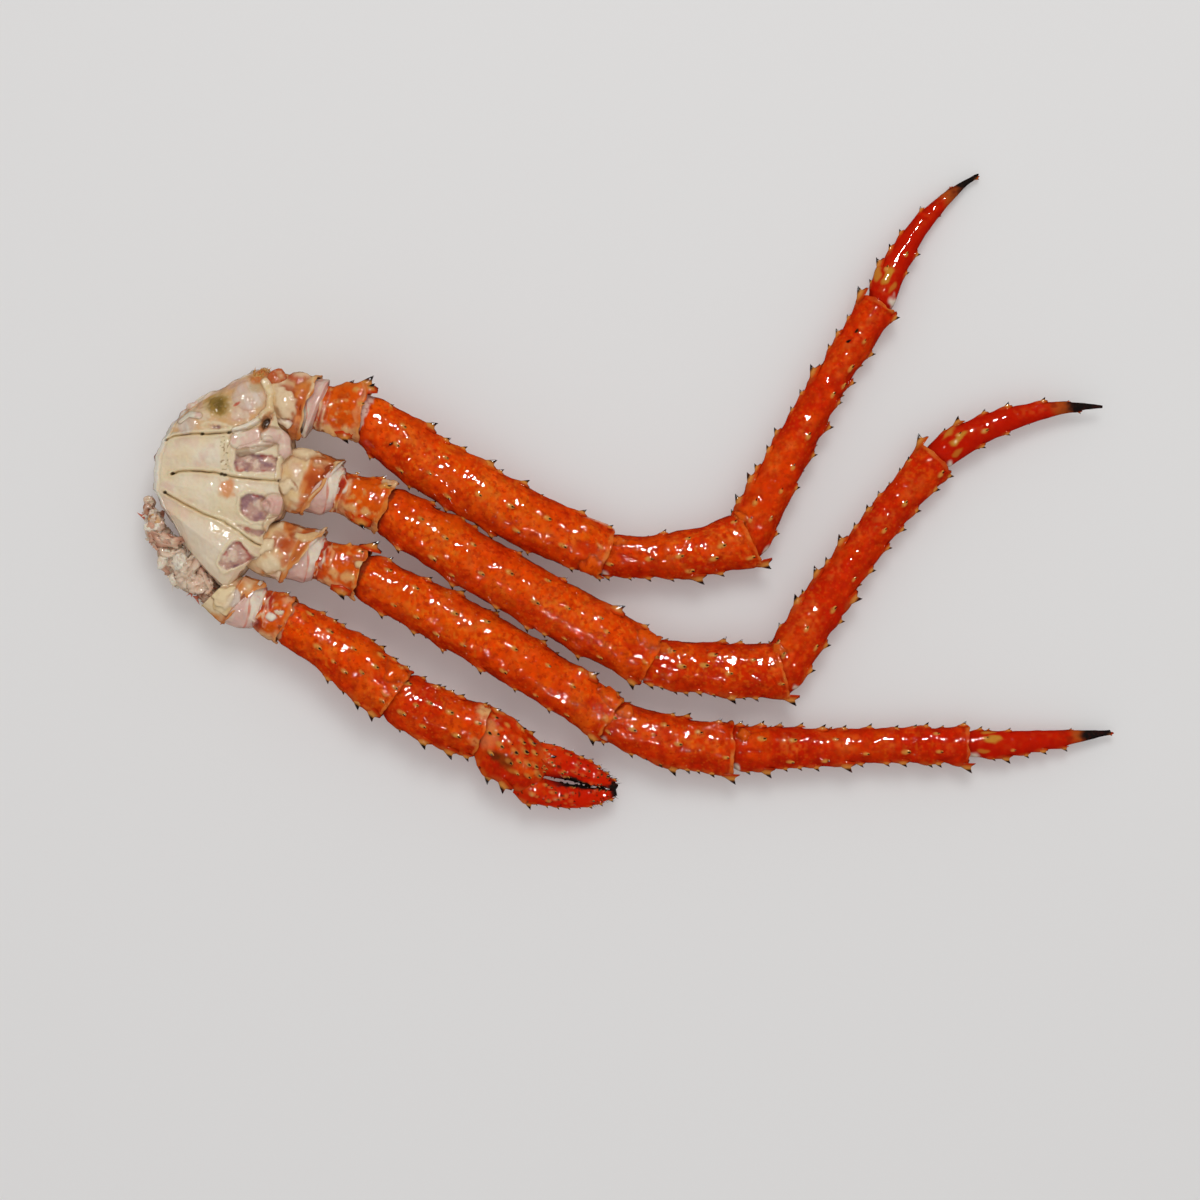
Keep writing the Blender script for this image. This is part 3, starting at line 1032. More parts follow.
def build_claw(wrist, materials, rng):
    """The palm with its fixed finger, and the moving finger below it."""
    palm = gauge("claw_palm", wrist.end, 3)
    ahead = (palm.end - palm.start) / palm.length
    left = left_of(ahead)

    def finger_run(name):
        """A finger's line: its root and tip are set from the palm's end."""
        root, tip, bow, widths = FINGERS[name]
        start, end = (palm.end + (a * ahead + b * left) * MM for a, b in (root, tip))
        end[2] = FINGER_TIP_HEIGHT
        return Run(start, end, bow * MM, np.array(widths) * MM)

    body = Run(palm.start, palm.end + 3.0 * MM * ahead, 0.0, np.array(PALM_WIDTHS) * MM,
               (palm.start_slant, 0.0))
    spots = spots_of(body, PALM_ROWS, 3.3, rng)
    for spot in spots:
        if spot.knob:
            spot.tint, spot.dark_from = rng.uniform(0.3, 0.8), rng.uniform(0.05, 0.3)
    piece = build_shell(body, 0.75, spots, PALM_PATCHES, turns=136, painter=palm_paint,
                        lumpy=1.6, pointed=True, grain=0.3)
    for name in ("fixed", "moving"):
        run = finger_run(name)
        if name == "moving":
            piece.finish("claw_palm_shell", "claw_palm", "shell", materials)
            piece = Piece()
        outer = 0 if name == "fixed" else 180
        spots = [Spot(place, abs(outer - rng.uniform(8, 30)), rng.uniform(1.6, 2.2))
                 for place in np.linspace(0.1, 0.93, 9)]
        spots += [Spot(place, rng.uniform(35, 145), rng.uniform(1.3, 2.3), True,
                       0.55 - 0.6 * place, 0.3 - 0.3 * place)
                  for place in np.sort(rng.uniform(0.04, 0.92, 34))]
        if name == "moving":
            spots.append(Spot(0.13, 172, 4.0))
        build_shell(run, 0.7 if name == "fixed" else 0.8, spots, turns=84, spacing=0.4 * MM,
                    neck=1.5 * MM, pointed=True, painter=finger_paint, piece=piece, grain=0.1)
        for place in np.sort(rng.uniform(0.28, 0.92, 15)):
            along = np.array([place * run.length])
            biting = math.radians(176 if name == "fixed" else 4)
            base, outward, forward = on_shell(run, along, np.array([biting]))
            thorn(piece, base[0], outward[0], forward[0], rng.uniform(0.5, 1.1) * MM, 0.9 * MM,
                  SOOT, 0.2, 0.0)
        tuft(piece, run, rng.uniform(0.72, 0.99, 26), 1 if name == "fixed" else -1, rng)
    piece.finish("claw_moving_finger", "claw_finger", "shell", materials)


# ---------------------------------------------------------------- the shoulder
# Lengths here are millimetres from the fan's hub: x away from the body, y towards the hind leg.
CUT_ANGLES = (-45.5, -37.0, -30.0, -15.0, 0.0, 14.0, 23.0, 28.0)
CUT_RADII = (60.0, 40.5, 32.5, 29.2, 29.2, 33.7, 39.2, 48.0)
FAN_RADIUS = 93.5
FAN_MIDDLE = (62.0, 0.0)  # the walls and the underside draw in towards it
BASE_HEIGHT = 0.15
CROWN_REACH = (0.0, 0.25, 0.55, 0.8, 1.0)
CROWN_HEIGHTS = (31.0, 37.8, 41.8, 42.1, 38.4)
SIDE_FALL = ((-45.5, -37.0, 13.0, 22.0, 28.0), (7.0, 1.0, 0.0, 5.0, 13.0))
EDGE_LOBES = ((3.2, 5.0, 4.6), (-15.8, 4.2, 4.2), (-30.0, 3.6, 3.4), (23.0, 3.0, 5.0))
SEAMS = (
    ((34.5, 7.7), (38.7, 9.5), (48, 10.4), (59.2, 10.4), (67.1, 10.9), (76, 12.6), (81.6, 15.8),
     (85.3, 18.6)),
    ((37.7, -9.4), (41.5, -8), (52.7, -8), (63.4, -9.4), (72.3, -11.2), (83.5, -12.6),
     (91.4, -12.6)),
    ((34.5, -18.2), (43.3, -23.4), (54.5, -29), (64.8, -33.2), (72.3, -38.4), (79.7, -43.4),
     (85, -46)),
)
SEAM_DOTS = ((34.5, 7.7), (53.6, 10.4), (67.1, 10.9), (38.5, -8.9), (63.4, -9.4), (65, -9.9),
             (91.4, -12.6), (34.5, -18.2), (59.5, -63.5))
WINDOWS = (  # corners clockwise, depth, rim
    (((69.8, 1.4), (84.0, 0.8), (91.0, -1.6), (90.0, -9.2), (69.0, -8.0)), 2.3, 0.5),
    (((73.0, -20.2), (78.5, -17.6), (84.2, -19.0), (87.6, -23.2), (87.0, -29.0), (82.8, -33.0),
      (76.5, -32.4), (71.6, -27.0)), 2.1, 1.1),
    (((67.4, -33.9), (84.6, -37.2), (82.6, -40.4), (73.0, -37.4)), 1.9, 0.6),
    (((69.5, -41.2), (73.8, -43.6), (80.2, -51.6), (64.4, -57.4), (61.2, -53.6)), 2.4, 0.9),
    (((53.6, 15.4), (60.0, 15.8), (67.4, 13.2), (61.0, 12.4), (55.6, 12.8)), 1.2, 0.3),
)
ROSY = (0.760, 0.520, 0.420)
RIDGES = (  # line, half-width, rise, colour, other colour
    (((70.0, 11.9), (76.0, 13.8), (81.0, 16.8), (84.0, 19.6)), 1.5, 1.4, (0.82, 0.70, 0.46), IVORY),
    (((73.2, 1.6), (79.0, 3.2), (86.4, 6.4)), 2.3, 1.9, (0.52, 0.385, 0.26), (0.66, 0.54, 0.40)),
    (((72.0, 7.2), (79.7, 8.6), (88.0, 9.4)), 4.2, 1.1, ROSY, (0.80, 0.66, 0.50)),
    (((86.6, 9.9), (91.6, 9.4), (94.6, 6.4), (94.6, 1.6)), 3.4, 2.5, ROSY, (0.80, 0.66, 0.50)),
    (((88.6, -24.4), (94.2, -25.0)), 4.8, 2.3, ROSY, (0.74, 0.44, 0.36)),
    (((87.5, -35.0), (91.5, -34.0)), 3.6, 1.7, CREAM, PEACH),
    (((79.5, -53.8), (83.0, -54.4)), 3.0, 1.6, CREAM, ROSY),
    (((91.8, -1.4), (90.8, -11.6)), 1.3, 0.9, CREAM, IVORY),
    (((84.2, 36.5), (87.6, 30.0), (86.8, 23.0), (84.0, 19.4)), 2.1, 1.6, (0.78, 0.58, 0.32), CREAM),
    (((41.5, 17.5), (46.0, 20.6), (51.5, 19.6)), 1.6, 0.8, ROSY, IVORY),
)


def line_distance(points, line):
    """Distance of each point from a bent line, by the nearest of its straight pieces, and on
    which side it lies: positive to the left."""
    best = np.full(points.shape[:-1], 1e9)
    side = np.zeros(points.shape[:-1])
    for (x0, y0), (x1, y1) in zip(line[:-1], line[1:]):
        along = np.array([x1 - x0, y1 - y0], float)
        away = points - np.array([x0, y0])
        share = np.clip((away @ along) / (along @ along), 0, 1)
        off = away - share[..., None] * along
        distance = np.hypot(off[..., 0], off[..., 1])
        cross = along[0] * away[..., 1] - along[1] * away[..., 0]
        nearer = distance < best
        best = np.where(nearer, distance, best)
        side = np.where(nearer, np.sign(cross), side)
    return best, side


ROUNDED = 0.9  # how far the corners of an outline are rounded


def beyond(points, corners):
    """How far each point lies outside a convex outline with rounded corners, negative inside: the
    logarithm of the summed exponentials of its distances beyond the edges' lines."""
    corners = np.array(corners, float)
    edges = np.roll(corners, -1, axis=0) - corners
    edges = unit(edges)
    away = points[..., None, :] - corners
    out = edges[:, 0] * away[..., 1] - edges[:, 1] * away[..., 0]
    return ROUNDED * np.log(np.exp(np.clip(out / ROUNDED, -30, 30)).sum(axis=-1))


def oval(points, centre, radii, turn=0.0):
    """Distance from a centre in shares of an oval's radii: 1 on its edge."""
    away = points - np.asarray(centre)
    c, s = math.cos(math.radians(turn)), math.sin(math.radians(turn))
    u = (away[..., 0] * c + away[..., 1] * s) / radii[0]
    v = (away[..., 1] * c - away[..., 0] * s) / radii[1]
    return np.hypot(u, v)


def fan_radius(degrees):
    """The fan's outer edge: an arc with a rounded lobe, a bell of its angle, at each plate."""
    return FAN_RADIUS - 1.5 + sum(
        height * np.exp(-(((degrees - middle) / half) ** 4)) for middle, height, half in EDGE_LOBES)


def polar(flat):
    """Distance from the hub, and degrees round it."""
    return np.hypot(flat[..., 0], flat[..., 1]), np.degrees(np.arctan2(flat[..., 1], flat[..., 0]))


def crown(flat):
    """Height of the fan's plain top in mm over a point in the hub's plane."""
    radius, degrees = polar(flat)
    inner = np.interp(degrees, CUT_ANGLES, CUT_RADII)
    reach = (radius - inner) / (FAN_RADIUS - inner)
    return np.interp(reach, CROWN_REACH, CROWN_HEIGHTS) - np.interp(degrees, *SIDE_FALL)


PLATE_STRAW = (0.70, 0.60, 0.33)
PLATE_ROSE = (0.72, 0.46, 0.30)
SEAM_SHADE = (0.70, 0.47, 0.22)
SEAM_TAN = (0.72, 0.50, 0.20)
SEAM_RIM = (0.82, 0.69, 0.46)
SEAM_DARK = (0.13, 0.055, 0.018)
BAND = (0.76, 0.60, 0.32)
BAND_SPECK = (0.26, 0.14, 0.04)
PLATE_ORANGE = (0.72, 0.24, 0.06)


def plates(flat, where, height):
    """Cream plates that swell between thin dark seams, with a raised cream rim by each seam."""
    radius, _ = polar(flat)
    colours = blend(all_over(CREAM, where), IVORY, 0.5 + 0.4 * mottle(where, 9 * MM, 81))
    colours = mottled(colours, PLATE_STRAW, 0.45, where, 12 * MM, 83, -0.1, 0.8)
    colours = mottled(colours, ROSY, 0.6, where, 9 * MM, 85, 0.05, 0.8)
    colours = blend(colours, PLATE_ROSE, 0.2 * ramp(flat[..., 1], -20.0, -34.0))
    nearest = np.full(radius.shape, 99.0)
    for seam in SEAMS:
        distance, side = line_distance(flat + 0.35 * mottle(where, 4 * MM, 86)[..., None], seam)
        nearest = np.minimum(nearest, distance)
        rim = bell(distance, 1.3, 0.75) * np.where(side > 0, 1.0, 0.55)
        height = height + 0.8 * rim - 1.3 * bell(distance, 0.0, 0.4)
        colours = blend(colours, SEAM_SHADE, 0.3 * bell(distance, 0.0, 3.2))
        colours = blend(colours, SEAM_TAN, 0.6 * bell(distance, 0.0, 0.95))
        colours = blend(colours, SEAM_RIM, 0.7 * rim)
        broken = 0.25 + 0.65 * ramp(mottle(where, 5 * MM, 119), -0.35, 0.35)
        colours = blend(colours, SEAM_DARK, broken * bell(distance, 0.0, 0.26))
    swell = ramp(nearest, 0.5, 9.0) * ramp(radius, 28, 48) * ramp(radius, 94, 82)
    height = height + 1.5 * swell + 0.4 * grainy(where, 7 * MM, 87) + 0.12 * grainy(where, 2 * MM, 89)
    ridge = bell(flat[..., 0] - 66.5 - 0.04 * flat[..., 1] ** 2, 0.0, 0.8)
    height = height + 0.6 * ridge * ramp(np.abs(flat[..., 1] - 0.5), 9.5, 7.5)
    band = ramp(np.abs(flat[..., 0] - 65.5), 3.4, 2.0) * ramp(np.abs(flat[..., 1] - 1.0), 9.5, 7.5)
    colours = blend(colours, BAND, 0.5 * band)
    colours = blend(colours, BAND_SPECK, 0.7 * band * ramp(mottle(where, 0.9 * MM, 113), 0.35, 0.6))
    far = oval(flat, (66.4, -16.6), (5.0, 5.4), 20) + 0.25 * mottle(where, 2 * MM, 88)
    colours = blend(colours, PLATE_ORANGE, 0.8 * ramp(far, 1.15, 0.5))
    return height, colours


FLESH_TAN = (0.70, 0.43, 0.22)
FLESH_PINK = (0.66, 0.38, 0.27)
FLESH_ORANGE = (0.70, 0.36, 0.11)
FLESH_PALE = (0.80, 0.66, 0.48)
GLAND_EDGE = (0.50, 0.33, 0.09)
GLAND = (0.31, 0.18, 0.035)
GLAND_CORE = (0.19, 0.115, 0.025)
BULB = (0.70, 0.55, 0.46)
VEIL = (0.80, 0.70, 0.60)
# Two clear bulbs: centre, half-sizes, turn and rise.
CLEAR_BULBS = (((76.5, 29.5), (8.5, 7.5), -20, 1.3), ((45.5, 14.6), (5.2, 4.2), 15, 0.9))
THREAD_RED = (0.60, 0.05, 0.02)
STAIN = (0.50, 0.34, 0.13)
FRINGE_RUST = (0.62, 0.17, 0.035)
FRINGE_TAN = (0.72, 0.42, 0.13)


def hind_chamber(flat, where, height, colours):
    """The hind leg's chamber: clear skin over tan and pink meat, a brown-green gland, a red
    thread, a bulb by the cut and a frayed orange corner."""
    first, side = line_distance(flat, SEAMS[0] + ((93, 24),))
    hind = ramp(first, 1.4, 3.0) * (side > 0)
    flesh = blend(all_over(FLESH_TAN, where), FLESH_PINK,
                  ramp(grainy(where, 7 * MM, 91), -0.2, 0.6))
    flesh = mottled(flesh, FLESH_ORANGE, 0.8, where, 8 * MM, 93, 0.1, 0.8)
    flesh = mottled(flesh, FLESH_PALE, 0.6, where, 5 * MM, 95, 0.15, 0.7)
    colours = blend(colours, flesh, 0.92 * hind)
    height = height + hind * (1.1 * grainy(where, 7 * MM, 97) - 0.5)
    far = oval(flat, (60.8, 25.0), (5.8, 4.6), -10) + 0.22 * grainy(where, 3.5 * MM, 96)
    gland = ramp(far, 1.2, 0.7)
    height = height + 1.2 * gland - 0.5 * ramp(far, 0.7, 0.2)
    colours = blend(colours, GLAND_EDGE, 0.6 * ramp(far, 1.7, 1.0))
    colours = blend(colours, GLAND, 0.9 * gland)
    colours = blend(colours, GLAND_CORE, 0.9 * ramp(far, 0.75, 0.35))
    for *place, rise in CLEAR_BULBS:
        far = oval(flat, *place)
        clear = ramp(far + 0.1 * mottle(where, 4 * MM, 98), 1.1, 0.75)
        height = height + rise * dome(far)
        colours = blend(colours, BULB, 0.6 * clear)
        veil = grainy(where @ np.array([[0.9, 0, 0], [0.5, 0.15, 0], [0, 0, 1]]), 3 * MM, 99)
        colours = blend(colours, VEIL, 0.5 * clear * ramp(veil, -0.1, 0.7))
    thread = ramp(oval(flat, (70.6, 25.2), (2.2, 0.8), 30), 1.2, 0.6)
    colours = blend(colours, THREAD_RED, 0.8 * thread)
    stain = ramp(oval(flat, (80.5, 34.0), (5.0, 3.4), 10), 1.2, 0.6)
    colours = blend(colours, STAIN, 0.6 * stain)
    far = oval(flat, (85.5, 41.0), (9.5, 5.0), 20) + 0.2 * mottle(where, 3 * MM, 100)
    fringe = ramp(far, 1.15, 0.6)
    height = height + 1.5 * fringe * (1 + 0.6 * grainy(where, 2.5 * MM, 101))
    rust = blend(all_over(FRINGE_RUST, where), FRINGE_TAN,
                 ramp(mottle(where, 2.0 * MM, 102), -0.1, 0.6))
    return height, blend(colours, rust, 0.9 * fringe)


WINDOW_MEAT = (0.60, 0.36, 0.29)
WINDOW_PALE = (0.78, 0.58, 0.44)
WINDOW_MAUVE = (0.34, 0.17, 0.19)
WINDOW_RED = (0.50, 0.05, 0.03)
WINDOW_LIP = (0.82, 0.68, 0.44)
TONGUE_EDGE = (0.46, 0.24, 0.13)
HOLE_EDGE = (0.50, 0.17, 0.04)
HOLE = (0.06, 0.025, 0.01)
DOT = (0.06, 0.03, 0.012)
CUT_WHITE = (0.87, 0.82, 0.72)


def shoulder_top(flat):
    """Height and colour of the shoulder's top over the hub's plane: the plates, the hind leg's
    chamber, windows of dark meat with steep sides, round tongues of skin over them, and the cut's
    white edge. A tongue rises as the square root of 1 - (distance / half-width)^2."""
    where = np.dstack([flat, 0 * flat[..., :1]]) * MM
    height, colours = plates(flat, where, crown(flat))
    height, colours = hind_chamber(flat, where, height, colours)
    for corners, depth, rim in WINDOWS:
        edge = beyond(flat, corners) + 0.7 * grainy(where, 4 * MM, 103)
        inside = ramp(edge, 0.2, -0.7)
        lip = bell(edge, 1.0, 0.8)
        fibres = grainy(where * np.array([0.75, 1.0, 1.0]), 3.0 * MM, 105)
        height = height + rim * lip - depth * inside + 0.9 * inside * fibres
        meat = blend(all_over(WINDOW_MEAT, where), WINDOW_PALE,
                     ramp(fibres, -0.1, 0.8))
        meat = mottled(meat, WINDOW_MAUVE, 0.85, where, 5 * MM, 109, 0.0, 0.7)
        bloody = ramp(edge, -2.4, -0.3) * ramp(mottle(where, 4 * MM, 111), 0.0, 0.5)
        meat = blend(meat, WINDOW_RED, 0.8 * bloody)
        colours = blend(colours, WINDOW_LIP, 0.75 * lip)
        colours = blend(colours, meat, inside)
    for number, (line, half, rise, tint, other) in enumerate(RIDGES):
        distance, _ = line_distance(flat, line)
        far = distance / half + 0.12 * mottle(where, 3 * MM, 115 + number)
        height = height + rise * dome(far) - 0.5 * bell(far, 1.12, 0.12)
        tongue = blend(all_over(tint, where), other, ramp(grainy(where, 4 * MM, 116), -0.2, 0.7))
        colours = blend(colours, TONGUE_EDGE, 0.55 * bell(far, 1.14, 0.14))
        colours = blend(colours, tongue, ramp(far, 1.08, 0.92))
    far = oval(flat, (85.4, 16.2), (1.7, 3.6), -28) + 0.25 * grainy(where, 2 * MM, 117)
    hole = ramp(far, 1.1, 0.6)
    height = height - 4.0 * hole
    colours = blend(colours, HOLE_EDGE, 0.8 * ramp(far, 1.9, 1.2))
    colours = blend(colours, HOLE, 0.9 * hole)
    for x, y in SEAM_DOTS:
        dot = ramp(oval(flat, (x, y), (1.1, 0.8), 10), 1.2, 0.6)
        height = height - 0.7 * dot
        colours = blend(colours, DOT, 0.9 * dot)
    radius, degrees = polar(flat)
    strip = radius - np.interp(degrees, CUT_ANGLES, CUT_RADII)
    white = ramp(strip + grainy(where, 5 * MM, 118), 3.0, 1.4)
    colours = blend(colours, CUT_WHITE, 0.85 * white)
    return height - 0.6 * bell(strip, 3.4, 0.5), colours


LOBES = (  # centre x y, height above the plate, half-sizes, turn, tilt, colour, other colour
    ((47.5, 25.6), -2.2, (4.2, 1.8, 1.8), 18, 0, ROSY, IVORY),
    ((89.8, 39.0), -1.2, (4.6, 3.8, 3.2), 30, 0, (0.56, 0.12, 0.035), (0.70, 0.36, 0.16)),
)


WALL_RED = (0.60, 0.20, 0.13)
OUTER_WALL = (0.74, 0.50, 0.30)
INNER_WALL = (0.72, 0.56, 0.45)
UNDERSIDE = (0.72, 0.60, 0.42)
CAP_TAN = (0.72, 0.50, 0.36)
CAP_RED = (0.56, 0.24, 0.18)
HAIR = (0.62, 0.30, 0.08)
NO_TIP = 9.0  # dark_from of a thorn without a dark tip


def side_wall(start, tint, count=26):
    """Rows straight down from an edge of the top, drawn in towards the flat underside, with a
    bulge of a random field and a sine of the way down."""
    share = np.linspace(0, 1, count + 2)[1:-1]
    points = np.repeat(start[:, None], count, axis=1)
    points[..., 2] = start[:, None, 2] * (1 - share)
    bulge = 1.2 * grainy(points * MM, 7 * MM, 121) + 0.8 * np.sin(math.pi * share)
    drawn = 1 - 0.06 * ramp(share, 0.7, 1.0)
    points[..., :2] = FAN_MIDDLE + drawn[:, None] * (points[..., :2] - FAN_MIDDLE)
    push = unit(points[..., :2] - FAN_MIDDLE)
    points[..., :2] += np.where(share[:, None] < 0.95, bulge[..., None] * push, 0.0)
    shade = mottled(all_over(tint, points), MAUVE, 0.8, points * MM, 5 * MM, 123, -0.2, 0.7)
    shade = blend(shade, IVORY, 0.7 * ramp(mottle(points * MM, 4 * MM, 125), 0.2, 0.8))
    layers = grainy(points * np.array([0.5, 0.5, 1.4]) * MM, 4 * MM, 126)
    return points, blend(shade, WALL_RED, 0.5 * ramp(layers, 0.2, 0.8))


def end_cap(row, turn, side):
    """Rings that close one end of the loop: the row drawn towards its middle, moved out by
    1 - share^2 and by folds."""
    shares = np.linspace(0.95, 0.08, 16)[:, None, None]
    rings = row.mean(axis=0) + shares * (row - row.mean(axis=0))
    folds = grainy(rings * MM, 7 * MM, 127)
    swell = 1.6 * (1 - shares[..., 0] ** 2) + 1.3 * folds * ramp(shares[..., 0], 1.0, 0.75)
    rings = rings + swell[..., None] * side * np.array([-math.sin(turn), math.cos(turn), 0])
    shade = blend(all_over(CAP_TAN, rings), IVORY, 0.8 * ramp(folds, -0.1, 0.8))
    return rings, blend(shade, CAP_RED, 0.7 * ramp(folds, -0.1, -0.8))


def build_shoulder(hub, materials, rng):
    """The fan: for each angle round the hub a closed loop of points goes over the top from the
    cut edge to the legs, down, back along the flat underside, and up the cut."""
    piece = Piece()
    angles = np.radians(np.linspace(CUT_ANGLES[0], CUT_ANGLES[-1], 300))
    inner = np.interp(np.degrees(angles), CUT_ANGLES, CUT_RADII)
    across = np.linspace(0, 1, 190)
    outer = fan_radius(np.degrees(angles))
    radius = inner[:, None] + (outer - inner)[:, None] * across
    flat = np.stack([radius * np.cos(angles)[:, None], radius * np.sin(angles)[:, None]], axis=-1)
    height, colours = shoulder_top(flat)
    edge = np.minimum(across, 1 - across) * (FAN_RADIUS - 30)
    round_ = np.minimum(edge, np.degrees(np.minimum(angles - angles[0], angles[-1] - angles))[:, None])
    height = height - 2.4 * (1 - ramp(round_, -1.0, 2.6))
    top = np.dstack([flat, height])

    outer_wall, outer_paint = side_wall(top[:, -1], OUTER_WALL)
    inner_wall, inner_paint = side_wall(top[:, 0], INNER_WALL)
    share = np.linspace(0, 1, 14)[None, :, None]
    base = outer_wall[:, -1:] * (1 - share) + inner_wall[:, -1:] * share
    base[..., 2] = BASE_HEIGHT
    base_paint = all_over(UNDERSIDE, base)
    loop = np.concatenate([top, outer_wall, base, inner_wall[:, ::-1]], axis=1)
    paint = np.concatenate([colours, outer_paint, base_paint, inner_paint[:, ::-1]], axis=1)
    first, first_paint = end_cap(loop[0], angles[0], -1)
    last, last_paint = end_cap(loop[-1], angles[-1], 1)
    loop = np.concatenate([first[::-1], loop, last])
    paint = np.concatenate([first_paint[::-1], paint, last_paint])
    ground = hub * (1, 1, 0)
    piece.closed_tube(ground + loop * MM, paint, 0.35)
    for number, (centre, over, radii, turn, tilt, tint, other) in enumerate(LOBES):
        level = crown(np.array(centre)) + over
        place = ground + np.array([centre[0], centre[1], level]) * MM
        lump(piece, place, np.array(radii) * MM, turn, tint, 0.45 * MM, tilt, 130 + number, other)
    for _ in range(34):  # the frayed corner's short stiff hairs
        x, y = rng.uniform(78, 90), rng.uniform(38.5, 43.0)
        place = ground + np.array([x, y, crown(np.array([x, y])) + 0.6]) * MM
        out = np.array([rng.uniform(-0.4, 0.4), rng.uniform(0.2, 1.0), rng.uniform(0.1, 0.8)])
        thorn(piece, place, unit(out), np.array([1.0, 0.0, 0.0]),
              rng.uniform(1.0, 2.2) * MM, 0.26 * MM, HAIR, 0.3, NO_TIP)
    piece.finish("shoulder_plates", "shoulder", "shoulder_wall", materials)


# ---------------------------------------------------------------- torn meat
MEAT_LINE = ((24.6, -22.5), (26.6, -30.0), (30.0, -38.0), (37.0, -48.5), (45.0, -58.5),
             (53.0, -66.0))
MEAT_RADII = (3.0, 4.0, 5.0, 7.6, 9.4, 7.2)
MEAT_TINTS = ((0.76, 0.52, 0.37), (0.82, 0.65, 0.48), (0.74, 0.42, 0.29), (0.48, 0.23, 0.14),
              (0.86, 0.76, 0.62), (0.76, 0.44, 0.20))
TINT_SHARES = (0.24, 0.28, 0.14, 0.04, 0.26, 0.04)
SHREDS = ((0.84, 0.74, 0.62), (0.60, 0.16, 0.09))
LONG_LUMP = (1.9, 0.85, 0.5)
ROUND_LUMP = (1.3, 0.9, 0.8)


def build_meat(hub, materials, rng):
    """Torn meat beside the claw's chamber: a thin strip along the cut that widens into a ragged
    mass. Lumps of several sizes lie along a bent line, each drawn up into sharp folds, and leaves
    and shreds stick out of them."""
    piece = Piece()
    ground = hub * (1, 1, 0)
    line, radii = np.array(MEAT_LINE), np.array(MEAT_RADII)
    steps = np.arange(len(line))

    def spot_by_line():
        """A random place by the line, more often on its wide end: middle, radius and angle."""
        share = rng.uniform(0, 1) ** 0.6 * steps[-1]
        centre = np.array([np.interp(share, steps, line[:, k]) for k in (0, 1)])
        return centre, np.interp(share, steps, radii), rng.uniform(0, 2 * math.pi)

    for (x, y), big in zip(line, radii):
        lump(piece, ground + np.array([x, y, 15.5]) * MM, big * MM * np.array([1.2, 0.85, 1.2]), -60,
             MEAT_TINTS[0], 0.3 * big * MM, 0, int(190 + x), MEAT_TINTS[1], torn=True)
    for number in range(46):
        centre, big, swing = spot_by_line()
        size = big * rng.uniform(0.3, 0.75)
        out = (1.15 * big - 0.6 * size) * rng.uniform(0.1, 1.0)
        place = np.array([centre[0] + out * math.cos(swing), centre[1] + out * math.sin(swing),
                          20.0 + rng.uniform(-9, 9)])
        tint = MEAT_TINTS[rng.choice(6, p=TINT_SHARES)]
        stretch = np.array(LONG_LUMP if rng.random() < 0.5 else ROUND_LUMP)
        lump(piece, ground + place * MM, size * MM * stretch, rng.uniform(0, 180), tint,
             0.34 * size * MM, rng.uniform(-60, 60), 200 + number,
             MEAT_TINTS[rng.choice((0, 1, 2, 4))], torn=True)
    for _ in range(80):
        centre, big, swing = spot_by_line()
        out = np.array([math.cos(swing), math.sin(swing), rng.uniform(-0.2, 0.9)])
        out = unit(out)
        along = unit(np.cross(out, rng.normal(size=3)))
        place = ground + (np.append(centre, 18.5) + out * big * rng.uniform(0.75, 1.1)) * MM
        tint = SHREDS[0] if rng.random() < 0.7 else SHREDS[1]
        thorn(piece, place, out, along, rng.uniform(1.5, 4.0) * MM, rng.uniform(0.4, 1.1) * MM,
              tint, rng.uniform(-1.6, 1.6), NO_TIP)
    piece.finish("torn_meat", "shoulder_meat", "meat", materials)


# ---------------------------------------------------------------- materials
NUMBER = "NodeSocketFloat"
COLOUR = "NodeSocketColor"


def node_group(name, inputs, outputs):
    """An empty shader node group with sockets given as (name, kind, default)."""
    group = bpy.data.node_groups.new(name, "ShaderNodeTree")
    for label, kind, default in inputs:
        socket = group.interface.new_socket(label, in_out="INPUT", socket_type=kind)
        socket.default_value = default
    for label, kind in outputs:
        group.interface.new_socket(label, in_out="OUTPUT", socket_type=kind)
    return group, group.nodes.new("NodeGroupInput"), group.nodes.new("NodeGroupOutput")


def plug(tree, socket, value):
    """Links a socket to the value if that is another socket, or else sets it."""
    if isinstance(value, bpy.types.NodeSocket):
        tree.links.new(value, socket)
    else:
        socket.default_value = value


def maths(tree, operation, first, second):
    """Output of a maths node over two sockets or numbers."""
    node = tree.nodes.new("ShaderNodeMath")
    node.operation = operation
    plug(tree, node.inputs[0], first)
    plug(tree, node.inputs[1], second)
    return node.outputs[0]


def noise(tree, size, detail):
    """Smooth noise over Object coordinates; size is a socket or a number in metres."""
    coordinates = tree.nodes.new("ShaderNodeTexCoord")
    node = tree.nodes.new("ShaderNodeTexNoise")
    node.inputs["Detail"].default_value = detail
    tree.links.new(coordinates.outputs["Object"], node.inputs["Vector"])
    tree.links.new(maths(tree, "DIVIDE", 1.0, size), node.inputs["Scale"])
    return node.outputs["Fac"]


def spread(tree, value, low, high):
    """0 at low, 1 at high and smooth between."""
    node = tree.nodes.new("ShaderNodeMapRange")
    node.interpolation_type = "SMOOTHSTEP"
    node.inputs["From Min"].default_value = low
    node.inputs["From Max"].default_value = high
    tree.links.new(value, node.inputs["Value"])
    return node.outputs["Result"]


def mixed(tree, factor, first, second):
    """The first colour moved towards the second by a factor."""
    node = tree.nodes.new("ShaderNodeMix")
    node.data_type = "RGBA"
    plug(tree, node.inputs[0], factor)
    plug(tree, node.inputs[6], first)
    plug(tree, node.inputs[7], second)
    return node.outputs[2]


